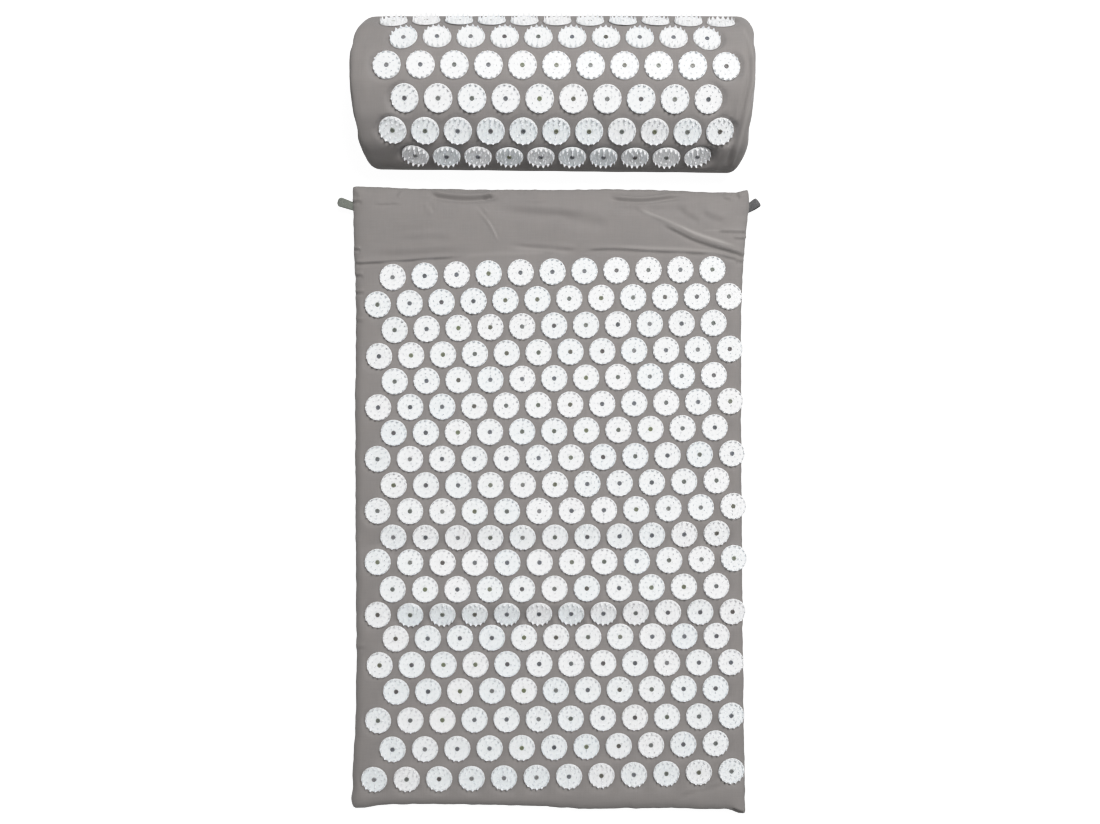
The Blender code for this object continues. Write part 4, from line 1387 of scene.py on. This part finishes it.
def ribbonFinish(name, light, dark):
    # Cross-ribbed tape with flecked yarn
    finish = Finish(name, {"Specular IOR Level": 0.2, "Sheen Weight": 0.15})
    place = finish.weavePlace()
    ribs, yarn = (finish.waves(along, pitch) * 0.5 + 0.5
                  for along, pitch in zip(finish.parts(place), (0.00075, 0.0006)))
    fleck = finish.noise(finish.scaled(place, (1400, 700, 1)), 1.0)
    tone = finish.math("ADD", (fleck - 0.5) * 2.2 + (ribs - 0.5) * 0.5, 0.5, True)
    return finish.coat(finish.mix(tone, dark, light), fleck * 0.15 + 0.8,
                       ribs * 0.7 + yarn * 0.3, 0.7, 0.0003)


def tapeFinish(name, colour, scale, depth):
    # Hooks or loops of a touch fastener
    finish = Finish(name, {"Specular IOR Level": 0.3})
    place = finish.place()
    tufts = finish.node("TexVoronoi", {"feature": "F1"}, {"Vector": place, "Scale": scale})
    fuzz = finish.noise(place, scale * 2.0, 3.0)
    return finish.coat(finish.mix(fuzz, tuple(part * 0.6 for part in colour), colour),
                       fuzz * 0.2 + 0.65, tufts * 0.7 + fuzz * 0.3, 0.8, depth)


print("Making the finishes")
coverFabric = fabricFinish()
matCover.data.materials.append(coverFabric)
pillowCover.data.materials.append(coverFabric)
leftLoop.data.materials.append(
    ribbonFinish("greenRibbon", (0.25, 0.265, 0.235), (0.10, 0.11, 0.095)))
rightLoop.data.materials.append(
    ribbonFinish("charcoalRibbon", (0.17, 0.17, 0.17), (0.035, 0.035, 0.04)))
tapes = {
    "hook_tape": tapeFinish("hookTape", (0.06, 0.06, 0.065), 900.0, 0.0006),
    "loop_tape": tapeFinish("loopTape", (0.09, 0.09, 0.095), 500.0, 0.0004),
}
for owner in ("mat", "pillow"):
    for kind, material in tapes.items():
        for slot in nodes[f"{owner}_{kind}"].material_slots:
            slot.material = material

print("Placing the spiked discs, their rivets and the stitches")
discValues = {"Radius": disc["radius"], "Thickness": disc["thickness"], "Edge": disc["edge"],
              "Sides": disc["sides"], "Spike Height": disc["spikeHeight"],
              "Spike Radius": disc["spikeRadius"], "Outer Ring": disc["outerRing"],
              "Middle Ring": disc["middleRing"], "Inner Ring": disc["innerRing"], "Seed": 3,
              "Material": discFinish()}
rivetValues = {"Head Radius": rivet["headRadius"], "Head Height": rivet["headHeight"],
               "Hollow Radius": rivet["hollowRadius"], "Hollow Depth": rivet["hollowDepth"],
               "Sides": rivet["sides"], "Seed": 8, "Material": rivetFinish()}
stitchValues = {"Length": 0.0026, "Gap": 0.0009, "Thread": 0.0003, "Seed": 5,
                "Material": threadFinish()}
pillowDiscValues = {**discValues, "Radius": disc["pillowRadius"],
                    "Outer Ring": disc["pillowOuterRing"]}
discTree, rivetTree, stitchTree = (
    discLayout(discValues), rivetLayout(rivetValues), stitchLayout(stitchValues))
rivetLift = disc["lift"] + disc["thickness"]
matDiscs = bakeLayout("matDiscs", discTree, discPoints(matPlaces, disc["lift"]), discValues)
matRivets = bakeLayout("matRivets", rivetTree, discPoints(matPlaces, rivetLift), rivetValues)
pillowDiscs = bakeLayout("pillowDiscs", discTree, discPoints(pillowPlaces, disc["lift"]),
                         pillowDiscValues)
pillowRivets = bakeLayout("pillowRivets", rivetTree, discPoints(pillowPlaces, rivetLift, True),
                          rivetValues)
matStitches, pillowStitches = (
    bakeLayout(name, stitchTree, stitchLines(opening), stitchValues)
    for name, opening in (("matStitches", matOpening), ("pillowStitches", pillowOpening)))
for piece in (matRivets, pillowRivets):
    piece.data.shade_smooth()
    piece.data.set_sharp_from_angle(angle=math.radians(rivet["sharpFrom"]))

print("Setting the studio")
camera = bpy.data.objects.new("camera", bpy.data.cameras.new("camera"))
camera.data.sensor_width = photoView["sensorWidth"]
camera.data.lens = photoView["focalPixels"] * photoView["sensorWidth"] / photoView["pictureWidth"]
camera.location = (0, photoView["cameraY"], photoView["cameraHeight"])
scene.collection.objects.link(camera)
scene.camera = camera

studio = {
    "worldLight": 0.20,
    # Each lamp: place, size, power, and the point that it is aimed at
    "keyLight": ((0.60, 1.08, 2.20), 0.9, 61, (0, 0.1, 0)),
    "fillLight": ((0.0, 0.30, 1.9), 1.8, 6, (0, 0.05, 0)),
    "leftLight": ((-2.6, 0.3, 0.7), 1.4, 5, (0, 0.2, 0.02)),
    "rightLight": ((2.6, 0.3, 0.7), 1.4, 9, (0, 0.2, 0.02)),
    "floorGlow": 1.3,
    "floorHalf": 6,
    "floorHeight": -0.0004,
}


def areaLight(name, place, size, power, aim):
    data = bpy.data.lights.new(name, "AREA")
    data.shape = "DISK"
    data.size = size
    data.energy = power
    light = bpy.data.objects.new(name, data)
    light.location = place
    light.rotation_euler = (Vector(place) - Vector(aim)).to_track_quat("Z", "Y").to_euler()
    scene.collection.objects.link(light)


for name in ("keyLight", "fillLight", "leftLight", "rightLight"):
    areaLight(name, *studio[name])
world = bpy.data.worlds.new("studioWorld")
world.use_nodes = True
world.node_tree.nodes["Background"].inputs["Color"].default_value = (1, 1, 1, 1)
world.node_tree.nodes["Background"].inputs["Strength"].default_value = studio["worldLight"]
scene.world = world
scene.view_settings.view_transform = "Standard"
scene.view_settings.look = "None"

# Film curve: straight up to the mid tones, then a soft shoulder, as in the photo's white discs
shoulder = {"brightest": 1.45, "points": ((0.6, 0.6), (0.8, 0.775), (1.0, 0.885), (1.2, 0.945))}
scene.view_settings.use_curve_mapping = True
film = scene.view_settings.curve_mapping
film.white_level = (shoulder["brightest"],) * 3
filmCurve = film.curves[3]
filmCurve.points[1].location = (1.0, 1.0)
for light, shown in shoulder["points"]:
    filmCurve.points.new(light / shoulder["brightest"], shown)
for point in filmCurve.points[:3]:
    point.handle_type = "VECTOR"
film.update()

floorFinish = Finish("paleFloor", {"Specular IOR Level": 0.1, "Emission Color": (1, 1, 1, 1),
                                   "Emission Strength": studio["floorGlow"]})
floorMaterial = floorFinish.coat((0.3, 0.3, 0.3),
                                 floorFinish.noise(floorFinish.place(), 3.0, 3.0) * 0.1 + 0.85)
half, height = studio["floorHalf"], studio["floorHeight"]
corners = [(x * half, y * half, height) for x, y in ((-1, -1), (1, -1), (1, 1), (-1, 1))]
floor = meshPiece("studioFloor", corners, [(0, 1, 2, 3)], smooth=False)
floor.data.materials.append(floorMaterial)
floor.visible_diffuse = False          # the photo's white background throws no light back up

print("Tying the pieces to the frame")
for piece, body, slotName, replaced in (
        (matCover, "mat", "cover_fabric",
         ("mat_top_panel", "mat_back_panel", "mat_back_head_panel", "mat_foam_pad")),
        (matDiscs, "mat", "disc_plastic", tuple(f"spike_disc_{i:02d}" for i in range(1, 12))),
        (matRivets, "mat", "rivet_plastic", tuple(f"disc_rivet_{i:02d}" for i in range(1, 12))),
        (pillowCover, "pillow", "cover_fabric",
         ("pillow_top_panel", "pillow_base_panel", "pillow_end_panel_left",
          "pillow_end_panel_right", "pillow_foam_core")),
        (leftLoop, "left_loop", "green_ribbon", ("left_side_loop",)),
        (rightLoop, "right_loop", "charcoal_ribbon", ("right_side_loop",)),
        (pillowDiscs, "pillow", "disc_plastic", ()),
        (pillowRivets, "pillow", "rivet_plastic", ()),
        (matStitches, "mat", "cover_fabric", ()),
        (pillowStitches, "pillow", "cover_fabric", ())):
    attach(piece, body)
    if replaced:
        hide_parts(*replaced)

print("Done")
